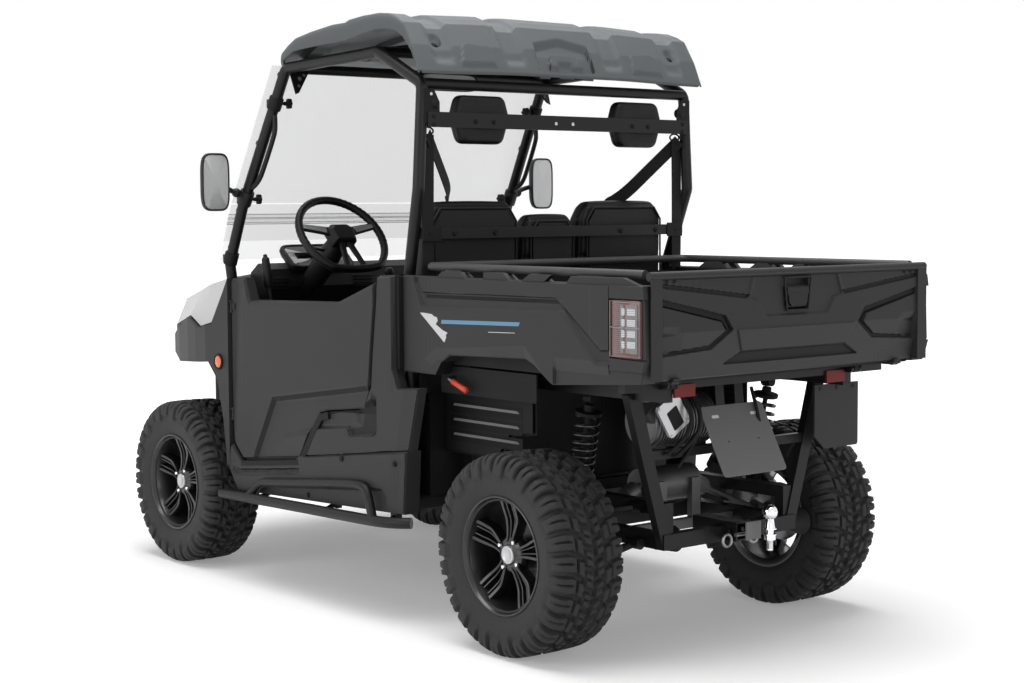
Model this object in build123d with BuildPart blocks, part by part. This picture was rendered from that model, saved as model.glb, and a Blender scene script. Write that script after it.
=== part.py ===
"""Side by side utility vehicle: two-seat cab with a roll cage, half doors, a tipping bed, a drop tailgate.

Millimetres. +Z is up from the ground, -Y is the front, +X is the driver's side.
The origin is on the ground, below the middle of the overall length.
Left and right pieces come from one outline, built once with side = 1 and once with side = -1.
"""
from build123d import *
import math
import os

os.makedirs("parts", exist_ok=True)

# ---------------------------------------------------------------- driving dimensions
overall_length = 3180
rear_overhang = 610
wheelbase = 2100
rear_axle_y = overall_length / 2 - rear_overhang
front_axle_y = rear_axle_y - wheelbase
front_end_y = -overall_length / 2
rear_end_y = overall_length / 2

tyre_radius = 330
axle_z = tyre_radius
front_tyre_width = 230
rear_tyre_width = 270
front_tyre_x = 640
rear_tyre_x = 610
rim_flange_radius = 194
bead_radius = 178
barrel_inner_radius = 164
hub_radius = 55
stub_radius = 16
running_gap = 0.1
joint_gap = 6

skin = 6                      # moulded panel thickness

floor_z = 430                 # underside of the cab floor
floor_thickness = 8

cage_tube_radius = 21
cage_bend_radius = 38

sides = (1, -1)
written = []


# ---------------------------------------------------------------- small tools
def save(name, part):
    """Labels a finished piece and writes it as one STEP file."""
    part.label = name
    export_step(part, f"parts/{name}.step")
    written.append(name)


def block(x, y, z, mode=Mode.ADD):
    """A box between three (low, high) pairs."""
    centre = tuple((pair[0] + pair[1]) / 2 for pair in (x, y, z))
    size = tuple(abs(pair[1] - pair[0]) for pair in (x, y, z))
    with Locations(centre):
        Box(*size, mode=mode)


def rod(start, end, radius, mode=Mode.ADD):
    """A straight round bar from start to end."""
    run = Vector(*end) - Vector(*start)
    with BuildSketch(Plane(origin=start, z_dir=run)) as section:
        Circle(radius)
    extrude(section.sketch, amount=run.length, mode=mode)


def bent_tube(points, radius, bend, mode=Mode.ADD):
    """A round tube along straight runs with one bend radius."""
    with BuildLine() as path:
        FilletPolyline(*points, radius=bend)
    with BuildSketch(Plane(origin=path.line @ 0, z_dir=path.line % 0)) as section:
        Circle(radius)
    sweep(section.sketch, path=path.line, mode=mode)


def disc_x(centre, radius, x_low, x_high, mode=Mode.ADD):
    """A round disc about an axis along X, between two x places, at centre (y, z)."""
    with BuildSketch(Plane.YZ.offset(x_low)) as section:
        with Locations(centre):
            Circle(radius)
    extrude(section.sketch, amount=x_high - x_low, mode=mode)


def side_profile(outline, side, x_in, x_out, mode=Mode.ADD):
    """An outline of (y, z) points pushed out sideways, from x_in to x_out on that side."""
    with BuildSketch(Plane.YZ.offset(side * x_in)) as section:
        with BuildLine():
            Polyline(*outline, close=True)
        make_face()
    extrude(section.sketch, amount=side * (x_out - x_in), mode=mode)


def rear_profile(outline, y_low, y_high, mode=Mode.ADD):
    """An outline of (x, z) points pushed from y_low to y_high."""
    front = Plane(origin=(0, y_low, 0), x_dir=(1, 0, 0), z_dir=(0, -1, 0))
    with BuildSketch(front) as section:
        with BuildLine():
            Polyline(*outline, close=True)
        make_face()
    extrude(section.sketch, amount=-(y_high - y_low), mode=mode)


# ---------------------------------------------------------------- wheels
# columns: name, side, axle y, tyre centre x, tyre width
wheels = (
    ("front_left", 1, front_axle_y, front_tyre_x, front_tyre_width),
    ("front_right", -1, front_axle_y, front_tyre_x, front_tyre_width),
    ("rear_left", 1, rear_axle_y, rear_tyre_x, rear_tyre_width),
    ("rear_right", -1, rear_axle_y, rear_tyre_x, rear_tyre_width),
)
shoulder_drop = 24            # tread edge below the crown
bead_share = 0.40             # half the bead width over the tyre width
rim_lip = 12
spoke_count = 5
spoke_window_inner = 78
spoke_window_outer = 150
wheel_face_inset = 42         # spoke face behind the rim's outer lip
wheel_face_thickness = 24
brake_disc_radius = 105
brake_disc_thickness = 5


def wheel_plane(side, x, y):
    """Plane through a wheel's axle whose local x runs outwards and local y runs up."""
    return Plane(origin=(side * x, y, axle_z), x_dir=(side, 0, 0), z_dir=(0, -side, 0))


def hub_inner_x(x, width):
    """Where the turning hub starts, outboard of the knuckle."""
    return x + width / 2 - 165


for name, side, axle_y, tyre_x, tyre_width in wheels:
    plane = wheel_plane(side, tyre_x, axle_y)
    spin_axis = Axis((side * tyre_x, axle_y, axle_z), (1, 0, 0))
    half = tyre_width / 2
    with BuildPart() as tyre:
        with BuildSketch(plane):
            with BuildLine():
                Polyline(
                    (-bead_share * tyre_width, bead_radius),
                    (-bead_share * tyre_width, rim_flange_radius + 2),
                    (-half * 0.97, bead_radius + 45),
                    (-half, bead_radius + 85),
                    (-half * 0.95, tyre_radius - shoulder_drop),
                    (-half * 0.80, tyre_radius),
                    (half * 0.80, tyre_radius),
                    (half * 0.95, tyre_radius - shoulder_drop),
                    (half, bead_radius + 85),
                    (half * 0.97, bead_radius + 45),
                    (bead_share * tyre_width, rim_flange_radius + 2),
                    (bead_share * tyre_width, bead_radius),
                    close=True,
                )
            make_face()
        revolve(axis=spin_axis)
    save(f"tyre_{name}", tyre.part)

    bead = bead_share * tyre_width
    face_x = bead + rim_lip - wheel_face_inset
    hub_x = hub_inner_x(tyre_x, tyre_width) - tyre_x
    with BuildPart() as rim:
        with BuildSketch(plane):
            with BuildLine():
                Polyline(
                    (-bead - rim_lip, rim_flange_radius),
                    (-bead, rim_flange_radius),
                    (-bead, bead_radius),
                    (bead, bead_radius),
                    (bead, rim_flange_radius),
                    (bead + rim_lip, rim_flange_radius),
                    (bead + rim_lip, barrel_inner_radius),
                    (-bead - rim_lip, barrel_inner_radius),
                    close=True,
                )
            make_face()
        revolve(axis=spin_axis)
        with BuildSketch(plane):
            with BuildLine():
                Polyline(
                    (face_x - wheel_face_thickness, stub_radius + running_gap),
                    (face_x, stub_radius + running_gap),
                    (face_x + 6, hub_radius),
                    (face_x - 6, barrel_inner_radius + 4),
                    (face_x - wheel_face_thickness - 6, barrel_inner_radius + 4),
                    close=True,
                )
            make_face()
        revolve(axis=spin_axis)
        with BuildSketch(plane):
            with BuildLine():
                Polyline(
                    (hub_x, stub_radius + running_gap),
                    (hub_x, brake_disc_radius),
                    (hub_x + brake_disc_thickness, brake_disc_radius),
                    (hub_x + brake_disc_thickness, hub_radius - 12),
                    (face_x - 4, hub_radius - 12),
                    (face_x - 4, stub_radius + running_gap),
                    close=True,
                )
            make_face()
        revolve(axis=spin_axis)
        disc_x((axle_y, axle_z), 30, side * (tyre_x + face_x - 4), side * (tyre_x + face_x + 14))
        window_plane = Plane(
            origin=(side * (tyre_x + face_x - 60), axle_y, axle_z),
            x_dir=(0, 1, 0),
            z_dir=(side, 0, 0),
        )
        with BuildSketch(window_plane):
            with PolarLocations(0, spoke_count, start_angle=90):
                with BuildLine():
                    Polyline(
                        (spoke_window_inner, -16),
                        (spoke_window_inner, 16),
                        (spoke_window_outer, 58),
                        (spoke_window_outer, -58),
                        close=True,
                    )
                make_face()
        extrude(amount=90, mode=Mode.SUBTRACT)
    save(f"rim_{name}", rim.part)


# ---------------------------------------------------------------- knuckles, arms and drive
kingpin_x = 550
knuckle_half_length = 32
knuckle_bottom_z = 262
knuckle_boss_z = 250
knuckle_top_z = 412
lower_eye_z = 221
arm_eye_radius = 20
arm_eye_height = 20
eye_gap = 6
pin_radius = 8
arm_tube_radius = 13
bush_radius = 18
lower_pivot_z = 352
upper_pivot_z = 470
steering_arm = 110            # kingpin to tie rod, towards the rear
tie_rod_z = 275
tie_rod_radius = 9
rail_inner_x = 260
rail_outer_x = 310
rail_bottom_z = 340
rail_top_z = 390
upper_rail_outer_x = 300
diff_z = 300
rear_diff_z = 492
shock_body_radius = 26
shock_rod_radius = 10
caliper_low, caliper_high = 70, 128


def stub_end_x(x, width):
    """Outer end of the stub axle, just behind the wheel's closed hub nose."""
    return x + bead_share * width + rim_lip - wheel_face_inset - 6


def knuckle_solids(side, axle_y, inner_x, outer_x, pin_x, stub_x, disc_x_low):
    """Upright block with its two pins, stub axle and brake caliper of one wheel."""
    x = (side * inner_x, side * outer_x)
    length = knuckle_half_length
    block(x, (axle_y - length, axle_y + length), (knuckle_bottom_z, knuckle_top_z))
    top = knuckle_top_z + eye_gap + arm_eye_height + 8
    rod((side * pin_x, axle_y, knuckle_top_z - 10), (side * pin_x, axle_y, top), pin_radius)
    rod((side * pin_x, axle_y, knuckle_boss_z), (side * pin_x, axle_y, knuckle_bottom_z + 4), 14)
    bottom = lower_eye_z - arm_eye_height / 2 - 8
    rod((side * pin_x, axle_y, knuckle_bottom_z), (side * pin_x, axle_y, bottom), pin_radius)
    arm = (side * (outer_x - 22), side * outer_x)
    block(arm, (axle_y - caliper_high, axle_y - length + 2), (axle_z - 28, axle_z + 28))
    caliper = (side * (outer_x - 4), side * (disc_x_low + brake_disc_thickness + 16))
    block(caliper, (axle_y - caliper_high, axle_y - caliper_low), (axle_z - 38, axle_z + 38))
    slot = (disc_x_low - joint_gap, disc_x_low + brake_disc_thickness + joint_gap)
    low, high = sorted((side * slot[0], side * slot[1]))
    disc_x((axle_y, axle_z), brake_disc_radius + joint_gap, low, high, mode=Mode.SUBTRACT)
    rod((side * (outer_x - 4), axle_y, axle_z), (side * stub_x, axle_y, axle_z), stub_radius)


for side, label in ((1, "left"), (-1, "right")):
    hub_x = hub_inner_x(front_tyre_x, front_tyre_width)
    stub_x = stub_end_x(front_tyre_x, front_tyre_width)
    with BuildPart() as knuckle:
        knuckle_solids(side, front_axle_y, kingpin_x - 18, kingpin_x + 28, kingpin_x, stub_x, hub_x)
        x = side * kingpin_x
        eye_y = front_axle_y + steering_arm
        block((x - 11, x + 11), (front_axle_y + 20, eye_y), (tie_rod_z + 17, tie_rod_z + 37))
        rod((x, eye_y, tie_rod_z + 17), (x, eye_y, tie_rod_z + 37), 16)
    save(f"knuckle_front_{label}", knuckle.part)

rear_knuckle_inner_x = 500
rear_knuckle_outer_x = 570
rear_pin_x = 535
with BuildPart() as rear_knuckles:
    for side in sides:
        hub_x = hub_inner_x(rear_tyre_x, rear_tyre_width)
        stub_x = stub_end_x(rear_tyre_x, rear_tyre_width)
        knuckle_solids(side, rear_axle_y, rear_knuckle_inner_x, rear_knuckle_outer_x,
                       rear_pin_x, stub_x, hub_x)
save("rear_knuckles", rear_knuckles.part)

with BuildPart() as steering_rack:
    rod((-kingpin_x, front_axle_y + steering_arm, tie_rod_z),
        (kingpin_x, front_axle_y + steering_arm, tie_rod_z), tie_rod_radius)
    for side in sides:
        x = side * kingpin_x
        y = front_axle_y + steering_arm
        rod((x, y, tie_rod_z - 11), (x, y, tie_rod_z + 11), 14)
save("steering_rack", steering_rack.part)

rack_housing_half = 190
with BuildPart() as steering_housings:
    y = front_axle_y + steering_arm
    rod((-rack_housing_half, y, tie_rod_z), (rack_housing_half, y, tie_rod_z), 22)
    for side in sides:
        block((side * 150, side * rail_outer_x), (y - 12, y + 12), (rail_bottom_z - 14, rail_bottom_z))
        block((side * 150, side * 174), (y - 12, y + 12), (tie_rod_z, rail_bottom_z - 2))
    rod((-rack_housing_half - 1, y, tie_rod_z), (rack_housing_half + 1, y, tie_rod_z),
        tie_rod_radius + running_gap, mode=Mode.SUBTRACT)

upper_eye_z = knuckle_top_z + eye_gap + arm_eye_height / 2
upper_pivot_x = upper_rail_outer_x + bush_radius
lower_pivot_x = rail_outer_x + bush_radius


def tie_place(eye_x, tie_x):
    """Share of the way inboard and height at which the shock's tie tube crosses an upper arm."""
    share = (eye_x - tie_x) / (eye_x - upper_pivot_x)
    return share, upper_eye_z + share * (upper_pivot_z - upper_eye_z)


# columns: axle y, eye x, front and rear pivot offset, shock tie x
arm_sets = (
    (front_axle_y, kingpin_x, -130, 130, 430),
    (rear_axle_y, rear_pin_x, -120, 200, 420),
)
# columns: eye z, pivot x, pivot z
arm_levels = (
    (upper_eye_z, upper_pivot_x, upper_pivot_z),
    (lower_eye_z, lower_pivot_x, lower_pivot_z),
)
with BuildPart() as suspension_arms:
    for axle_y, eye_x, pivot_front, pivot_rear, tie_x in arm_sets:
        for side in sides:
            for eye_z, pivot_x, pivot_z in arm_levels:
                eye = (side * eye_x, axle_y, eye_z)
                for shift in (pivot_front, pivot_rear):
                    pivot_y = axle_y + shift
                    rod(eye, (side * pivot_x, pivot_y, pivot_z), arm_tube_radius)
                    rod((side * pivot_x, pivot_y - 30, pivot_z),
                        (side * pivot_x, pivot_y + 30, pivot_z), bush_radius)
                rod((side * eye_x, axle_y, eye_z - arm_eye_height / 2),
                    (side * eye_x, axle_y, eye_z + arm_eye_height / 2), arm_eye_radius)
                rod((side * eye_x, axle_y, eye_z - 40), (side * eye_x, axle_y, eye_z + 40),
                    pin_radius + running_gap, mode=Mode.SUBTRACT)
            share, tie_z = tie_place(eye_x, tie_x)
            rod((side * tie_x, axle_y + share * pivot_front, tie_z),
                (side * tie_x, axle_y + share * pivot_rear, tie_z), arm_tube_radius)
save("suspension_arms", suspension_arms.part)

tower_bottom_z = 790
rear_upper_rail_z = 836
shock_eye_radius = 14
# columns: axle y, eye x of the arms, foot x, foot offset, head x, head offset, what the head meets
shock_sets = (
    (front_axle_y, kingpin_x, 430, 0, 322, 0, tower_bottom_z),
    (rear_axle_y, rear_pin_x, 420, 20, 420, 90, rear_upper_rail_z),
)
with BuildPart() as shock_absorbers:
    for axle_y, eye_x, foot_x, foot_offset, head_x, head_offset, stop_z in shock_sets:
        foot_z = tie_place(eye_x, foot_x)[1] + arm_tube_radius + shock_eye_radius
        for side in sides:
            low = Vector(side * foot_x, axle_y + foot_offset, foot_z)
            high = Vector(side * head_x, axle_y + head_offset, stop_z - shock_eye_radius)
            reach = high - low
            rod(tuple(low), tuple(high), shock_rod_radius)
            rod(tuple(low + reach * 0.45), tuple(low + reach * 0.93), shock_body_radius)
            for start in (0.07, 0.86):
                seat = low + reach * start
                rod(tuple(seat), tuple(seat + reach * 0.05), shock_body_radius + 8)
            for centre in (low, high):
                rod((centre.X, centre.Y - 16, centre.Z), (centre.X, centre.Y + 16, centre.Z),
                    shock_eye_radius)
save("shock_absorbers", shock_absorbers.part)

# columns: axle y, case centre height, case radius, case half width, outer end of the shafts
drives = (
    (front_axle_y, diff_z, 85, 110, kingpin_x - 42),
    (rear_axle_y, rear_diff_z, 60, 120, rear_knuckle_inner_x),
)
shaft_tube_radius = 14
joint_boot_radius = 32
with BuildPart() as axle_drives:
    for axle_y, case_z, case_radius, case_half, shaft_end_x in drives:
        disc_x((axle_y, case_z), case_radius, -case_half, case_half)
        block((-rail_inner_x, rail_inner_x), (axle_y + 50, axle_y + 74), (rail_bottom_z, rail_top_z - 15))
        for side in sides:
            block((side * 60, side * 100), (axle_y + 50, axle_y + 74), (rail_top_z - 16, case_z + 20))
            inner = Vector(side * (case_half - 4), axle_y, case_z)
            outer = Vector(side * shaft_end_x, axle_y, axle_z)
            reach = outer - inner
            rod(tuple(inner), tuple(inner + reach * 0.97), shaft_tube_radius)
            for start in (0.06, 0.84):
                rod(tuple(inner + reach * start), tuple(inner + reach * (start + 0.12)), joint_boot_radius)
            rod(tuple(outer - Vector(side * 16, 0, 0)), tuple(outer), 24)
save("axle_drives", axle_drives.part)

# ---------------------------------------------------------------- frame
frame_front_y = front_end_y + 110
frame_rear_y = 1300
bar = 40
side_bar_outer_x = 640
floor_rear_y = 400
rear_rail_inner_x = 400
rear_rail_outer_x = 440
rear_rail_top_z = rear_upper_rail_z + bar
bed_frame_front_y = 430
beam_front_y = 1400
beam_rear_y = 1430
beam_half = 600
beam_top_z = 904
pivot_y = 1452
pivot_z = 893
pivot_pin_radius = 8
ear_radius = 13
pivot_ear_x = 430
ear_half = 10
with BuildPart() as frame_rails:
    for side in sides:
        rail = (side * rail_inner_x, side * rail_outer_x)
        upper = (side * rail_inner_x, side * upper_rail_outer_x)
        bed_rail = (side * rear_rail_inner_x, side * rear_rail_outer_x)
        block(rail, (frame_front_y, frame_rear_y), (rail_bottom_z, rail_top_z))
        block((side * (side_bar_outer_x - bar), side * side_bar_outer_x), (-700, 370), (rail_top_z, floor_z))
        for y in (front_axle_y - 170, front_axle_y + 140):
            block(upper, (y, y + bar), (rail_top_z, tower_bottom_z + bar))
        block(upper, (front_axle_y - 170, front_axle_y + 180), (tower_bottom_z, tower_bottom_z + bar))
        block((side * rail_inner_x, side * 340), (front_axle_y - 30, front_axle_y + 30),
              (tower_bottom_z, tower_bottom_z + bar))
        block(upper, (front_axle_y - 170, front_axle_y + 180), (upper_pivot_z - 20, upper_pivot_z + 20))
        block(upper, (frame_front_y, frame_front_y + bar), (rail_top_z, 760))
        block(upper, (rear_axle_y - 160, rear_axle_y + 310), (upper_pivot_z - 20, upper_pivot_z + 20))
        for y in (rear_axle_y - 160, rear_axle_y + 270):
            block(upper, (y, y + bar), (rail_top_z, upper_pivot_z))
        block(bed_rail, (bed_frame_front_y, beam_rear_y), (rear_upper_rail_z, rear_rail_top_z))
        block(bed_rail, (bed_frame_front_y, bed_frame_front_y + bar), (floor_z, rear_upper_rail_z))
        plate = [(side * x, z) for x, z in ((440, 860), (462, 850), (400, 640), (310, 345),
                                            (262, 345), (350, 640), (405, 836))]
        rear_profile(plate, 1265, 1295)
    for y in (-700, -150, 330, bed_frame_front_y):
        reach = side_bar_outer_x if y < bed_frame_front_y else rear_rail_outer_x
        block((-reach, reach), (y, y + bar), (rail_top_z, floor_z))
    for y in (frame_front_y, -860, rear_axle_y - 160, 1260):
        block((-rail_inner_x, rail_inner_x), (y, y + bar), (rail_bottom_z, rail_top_z))
    for y in (front_axle_y - 170, front_axle_y + 140):
        block((-upper_rail_outer_x, upper_rail_outer_x), (y, y + bar),
              (tower_bottom_z, tower_bottom_z + bar))
    block((-370, 370), (1268, 1292), (635, 665))
    block((-33, 33), (1150, 1360), (rail_bottom_z - 5, 410), mode=Mode.SUBTRACT)
    block((-beam_half, beam_half), (beam_front_y, beam_rear_y), (rear_rail_top_z, beam_top_z))
    for side in sides:
        for x in (pivot_ear_x - 20, pivot_ear_x + 20):
            low, high = sorted((side * (x - 5), side * (x + 5)))
            disc_x((pivot_y, pivot_z), ear_radius, low, high)
            block((low, high), (beam_rear_y, pivot_y), (pivot_z - ear_radius, pivot_z + 8))
        rod((side * (pivot_ear_x - 25), pivot_y, pivot_z), (side * (pivot_ear_x + 25), pivot_y, pivot_z),
            pivot_pin_radius)
save("frame_rails", frame_rails.part)

with BuildPart() as reflectors:
    for side in sides:
        block((side * 354 - 45, side * 354 + 45), (beam_rear_y, beam_rear_y + 8), (850, 890))
save("rear_reflectors", reflectors.part)

# only the right-hand side carries a flap
with BuildPart() as mud_flaps:
    flap = [(-340, 836), (-568, 836), (-568, 614), (-390, 612), (-340, 660)]
    rear_profile(flap, 1350, 1356)
save("mud_flaps", mud_flaps.part)

plate_half = 145
with BuildPart() as plate_bracket:
    outline = ((1290, 785), (1296, 788), (1411, 578), (1405, 575))
    side_profile(outline, 1, -plate_half, plate_half)
    for side in sides:
        block((side * 90, side * 110), (1292, 1366), (640, 656))
save("plate_bracket", plate_bracket.part)

receiver_half = 32
receiver_bore = 25.4
receiver_z = 375
ball_radius = 25
ball_y = 1470
ball_z = 453
hitch_pin_y = 1325
with BuildPart() as hitch_receiver:
    block((-33, 33), (1150, 1350), (receiver_z - receiver_half, receiver_z + receiver_half))
    block((-receiver_bore, receiver_bore), (1160, 1351),
          (receiver_z - receiver_bore, receiver_z + receiver_bore), mode=Mode.SUBTRACT)
    rod((-40, hitch_pin_y, receiver_z), (40, hitch_pin_y, receiver_z), pin_radius + 0.2, mode=Mode.SUBTRACT)
save("hitch_receiver", hitch_receiver.part)

shank_half = receiver_bore - 0.4
with BuildPart() as hitch_ball:
    block((-shank_half, shank_half), (1170, 1425), (receiver_z - shank_half, receiver_z + shank_half))
    block((-31, 31), (1405, 1500), (receiver_z + 5, receiver_z + 25))
    rod((0, ball_y, 329), (0, ball_y, ball_z), 12)
    rod((0, ball_y, 360), (0, ball_y, 380), 20)
    with Locations((0, ball_y, ball_z)):
        Sphere(ball_radius)
    rod((-40, hitch_pin_y, receiver_z), (40, hitch_pin_y, receiver_z), pin_radius + 0.2, mode=Mode.SUBTRACT)
save("hitch_ball", hitch_ball.part)

with BuildPart() as battery_pack:
    block((-240, 240), (0, 360), (floor_z + floor_thickness, 700))
save("battery_pack", battery_pack.part)

motor_y = 1215
motor_z = 748
with BuildPart() as drive_motor:
    disc_x((motor_y, motor_z), 78, 60, 330)
    block((90, 130), (motor_y - 60, 1268), (650, 690))
    block((90, 130), (1240, 1268), (636, 690))
    tilted = Plane(origin=(285, motor_y, motor_z + 30), x_dir=(1, 0, 0), z_dir=(0, -1, 0))
    with BuildSketch(tilted) as box_face:
        Rectangle(118, 108, rotation=45)
    extrude(box_face.sketch, amount=-62)
save("drive_motor", drive_motor.part)

# ---------------------------------------------------------------- roll cage
# columns: x, y, z of one side's hoop, from the front foot over the roof to the rear foot
cage_path = (
    (575, -694, floor_z + floor_thickness),
    (575, -694, 650),
    (575, -770, 900),
    (650, -775, 1100),
    (668, -772, 1226),
    (661, -680, 1447),
    (632, -400, 1962),
    (625, 190, 1985),
    (620, 440, 1862),
    (640, 440, 1505),
    (615, 350, 1215),
    (615, 350, floor_z + floor_thickness),
)
cross_tube_radius = 19
seat_bar_z = (1333, 1371)
headrest_bar_z = (1714, 1766)
headrest_bar_y = (459, 467)
windshield_offset = 23
pillar_foot = Vector(0, -772, 1226)
pillar_knee = Vector(0, -680, 1447)
pillar_top = Vector(0, -400, 1962)


def pane_normal(low, high):
    """Unit vector square to a pane, pointing forwards and up."""
    run = (high - low).normalized()
    return Vector(0, -run.Z, run.Y)


clamp_places = ((0.25, 664, pillar_foot, pillar_knee), (0.9, 660, pillar_foot, pillar_knee),
                (0.45, 649, pillar_knee, pillar_top), (0.94, 634, pillar_knee, pillar_top))
with BuildPart() as roll_cage:
    for side in sides:
        bent_tube([(side * x, y, z) for x, y, z in cage_path], cage_tube_radius, cage_bend_radius)
        for share, x, low, high in clamp_places:
            centre = low + (high - low) * share
            tip = centre + pane_normal(low, high) * windshield_offset
            rod((side * x, centre.Y, centre.Z), (side * x, tip.Y, tip.Z), 14)
    for x, y, z in cage_path[6:9]:
        rod((-x, y, z), (x, y, z), cross_tube_radius)
    block((-615, 615), (395, 433), seat_bar_z)
    block((-617, 617), headrest_bar_y, headrest_bar_z)
save("roll_cage", roll_cage.part)

with BuildPart() as headrests:
    for side in sides:
        middle = side * 370
        outline = [(middle + x, z) for x, z in ((-105, 1660), (105, 1660), (127, 1745),
                                                (105, 1828), (-105, 1828), (-127, 1745))]
        rear_profile(outline, 400, headrest_bar_y[0])
save("headrests", headrests.part)

# ---------------------------------------------------------------- roof
roof_skin = 10
# columns: y, half width, lip z, shoulder z, crown z
roof_sections = (
    (-590, 470, 1982, 1990, 1997),
    (-500, 590, 1980, 1998, 2012),
    (-400, 655, 1984, 2022, 2036),
    (-290, 670, 2014, 2064, 2076),
    (-40, 673, 2027, 2097, 2110),
    (215, 673, 2056, 2114, 2124),
    (310, 673, 2058, 2106, 2116),
    (400, 673, 2018, 2070, 2078),
    (488, 673, 1890, 1897, 1906),
)


def hood_ring(half, lip_z, shoulder_z, crown_z, wall, shoulder_inset=50, crown_share=0.7):
    """Closed cross-section of a crowned panel, as (x, z) points."""
    crown_x = half * crown_share
    top = ((half, lip_z), (half - shoulder_inset, shoulder_z), (crown_x, crown_z - 6), (0, crown_z))
    right = [(-x, z) for x, z in top[-2::-1]]
    inner = ((half - wall, lip_z), (half - shoulder_inset - 4, shoulder_z - wall),
             (crown_x - 2, crown_z - 6 - wall), (0, crown_z - wall))
    inner_right = [(-x, z) for x, z in inner[-2::-1]]
    return list(top) + right + list(reversed(list(inner) + inner_right))


def crowned_panel(sections, wall):
    """A thin crowned panel lofted in straight strips through its cross-sections."""
    faces = []
    for y, half, lip_z, shoulder_z, crown_z in sections:
        plane = Plane(origin=(0, y, 0), x_dir=(1, 0, 0), z_dir=(0, -1, 0))
        with BuildSketch(plane) as ring:
            with BuildLine():
                Polyline(*hood_ring(half, lip_z, shoulder_z, crown_z, wall), close=True)
            make_face()
        faces.append(ring.sketch.faces()[0])
    loft(faces, ruled=True)


with BuildPart() as roof_panel:
    crowned_panel(roof_sections, roof_skin)
    for side in sides:
        for (x, y, z), top in ((cage_path[6], 2016), (cage_path[7], 2110)):
            block((side * 480, side * 520), (y - 20, y + 20), (z + cross_tube_radius, top))
save("roof_panel", roof_panel.part)

# ---------------------------------------------------------------- windshield, mirrors
pane_thickness = 5
# columns: low point, high point, half width below, half width above
panes = (
    (pillar_foot, pillar_knee, 700, 698),
    (pillar_knee, pillar_top, 698, 678),
)
with BuildPart() as windshield:
    for low, high, half_low, half_high in panes:
        normal = pane_normal(low, high)
        origin = low + normal * windshield_offset
        length = (high - low).length
        plane = Plane(origin=tuple(origin), x_dir=(1, 0, 0), z_dir=tuple(normal))
        with BuildSketch(plane) as pane:
            with BuildLine():
                Polyline((-half_low, 2), (half_low, 2), (half_high, length - 2), (-half_high, length - 2),
                         close=True)
            make_face()
        extrude(pane.sketch, amount=pane_thickness)
save("windshield", windshield.part)

band_share = 0.72
with BuildPart() as windshield_band:
    normal = pane_normal(pillar_foot, pillar_knee)
    outer_face_offset = windshield_offset + pane_thickness
    origin = pillar_foot + (pillar_knee - pillar_foot) * band_share + normal * outer_face_offset
    plane = Plane(origin=tuple(origin), x_dir=(1, 0, 0), z_dir=tuple(normal))
    with BuildSketch(plane) as strip:
        Rectangle(1392, 46)
    extrude(strip.sketch, amount=8)
save("windshield_band", windshield_band.part)

mirror_x = 810
mirror_half = (65, 103)
mirror_y = -620
mirror_z = 1540
mirror_arm_start = (679.6, -644, 1515)
cabin_mirror_x = (-155, 125)
cabin_mirror_y = (-262, -242)
cabin_mirror_z = cage_path[6][2] - 36
with BuildPart() as mirror_shells:
    for side in sides:
        block((side * (mirror_x - mirror_half[0]), side * (mirror_x + mirror_half[0])),
              (mirror_y - 36, mirror_y), (mirror_z - mirror_half[1], mirror_z + mirror_half[1]))
        block((side * (mirror_x - mirror_half[0] + 8), side * (mirror_x + mirror_half[0] - 8)),
              (mirror_y - 4, mirror_y), (mirror_z - mirror_half[1] + 8, mirror_z + mirror_half[1] - 8),
              mode=Mode.SUBTRACT)
        x, y, z = mirror_arm_start
        rod((side * x, y, z), (side * (mirror_x - 20), mirror_y - 24, z), 9)
        rod((side * x, y, z), (side * (x + 4), y, z), 16)
    stem_z = cage_path[6][2] - cross_tube_radius
    stem_y = cage_path[6][1]
    block((-8, 8), (stem_y - 8, stem_y + 8), (stem_z - 16, stem_z))
    rod((0, stem_y, stem_z - 16), (0, cabin_mirror_y[0], cabin_mirror_z), 7)
    block(cabin_mirror_x, cabin_mirror_y, (cabin_mirror_z - 35, cabin_mirror_z + 35))
save("mirrors", mirror_shells.part)

with BuildPart() as mirror_glasses:
    for side in sides:
        block((side * (mirror_x - mirror_half[0] + 8), side * (mirror_x + mirror_half[0] - 8)),
              (mirror_y - 4, mirror_y - 1), (mirror_z - mirror_half[1] + 8, mirror_z + mirror_half[1] - 8))
save("mirror_glasses", mirror_glasses.part)

# ---------------------------------------------------------------- front body
hood_skin = 8
hood_rear_y = -826
fender_inner_x = 600
fender_outer_x = 712
# columns: y, half width, skirt z, shoulder z, crown z
hood_sections = (
    (hood_rear_y, 690, 1034, 1166, 1192),
    (-860, 688, 996, 1160, 1186),
    (-990, 680, 970, 1136, 1168),
    (-1100, 662, 1008, 1108, 1146),
    (-1240, 650, 964, 1069, 1112),
    (-1350, 590, 926, 1020, 1066),
    (-1480, 500, 850, 950, 1000),
    (-1545, 460, 806, 866, 890),
)
hood_strut_y = (-1130, -1110)
with BuildPart() as hood:
    crowned_panel(hood_sections, hood_skin)
    for side in sides:
        block((side * (rail_inner_x + 2), side * (upper_rail_outer_x - 2)), hood_strut_y,
              (tower_bottom_z + bar, 1137))
save("hood", hood.part)

fender_rear_y = -724
fender_foot_z = floor_z + floor_thickness
fender_outline = (
    (fender_rear_y, 1168), (-756, 1120), (-854, 986), (-990, 962), (-1100, 1000), (-1350, 917),
    (-1352, 842), (-1215, 812), (-960, 828), (-881, 834), (-809, 766), (-787, 682), (-768, 611),
    (-752, 500), (-746, fender_foot_z), (fender_rear_y, fender_foot_z),
)
# columns: y, x of the fender's outside, which turns in towards the nose
fender_plan = ((-700, fender_outer_x), (-900, fender_outer_x), (-1000, 700), (-1090, 684), (-1220, 650),
               (-1350, fender_inner_x), (-1400, 570))
fender_depth = 112


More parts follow.
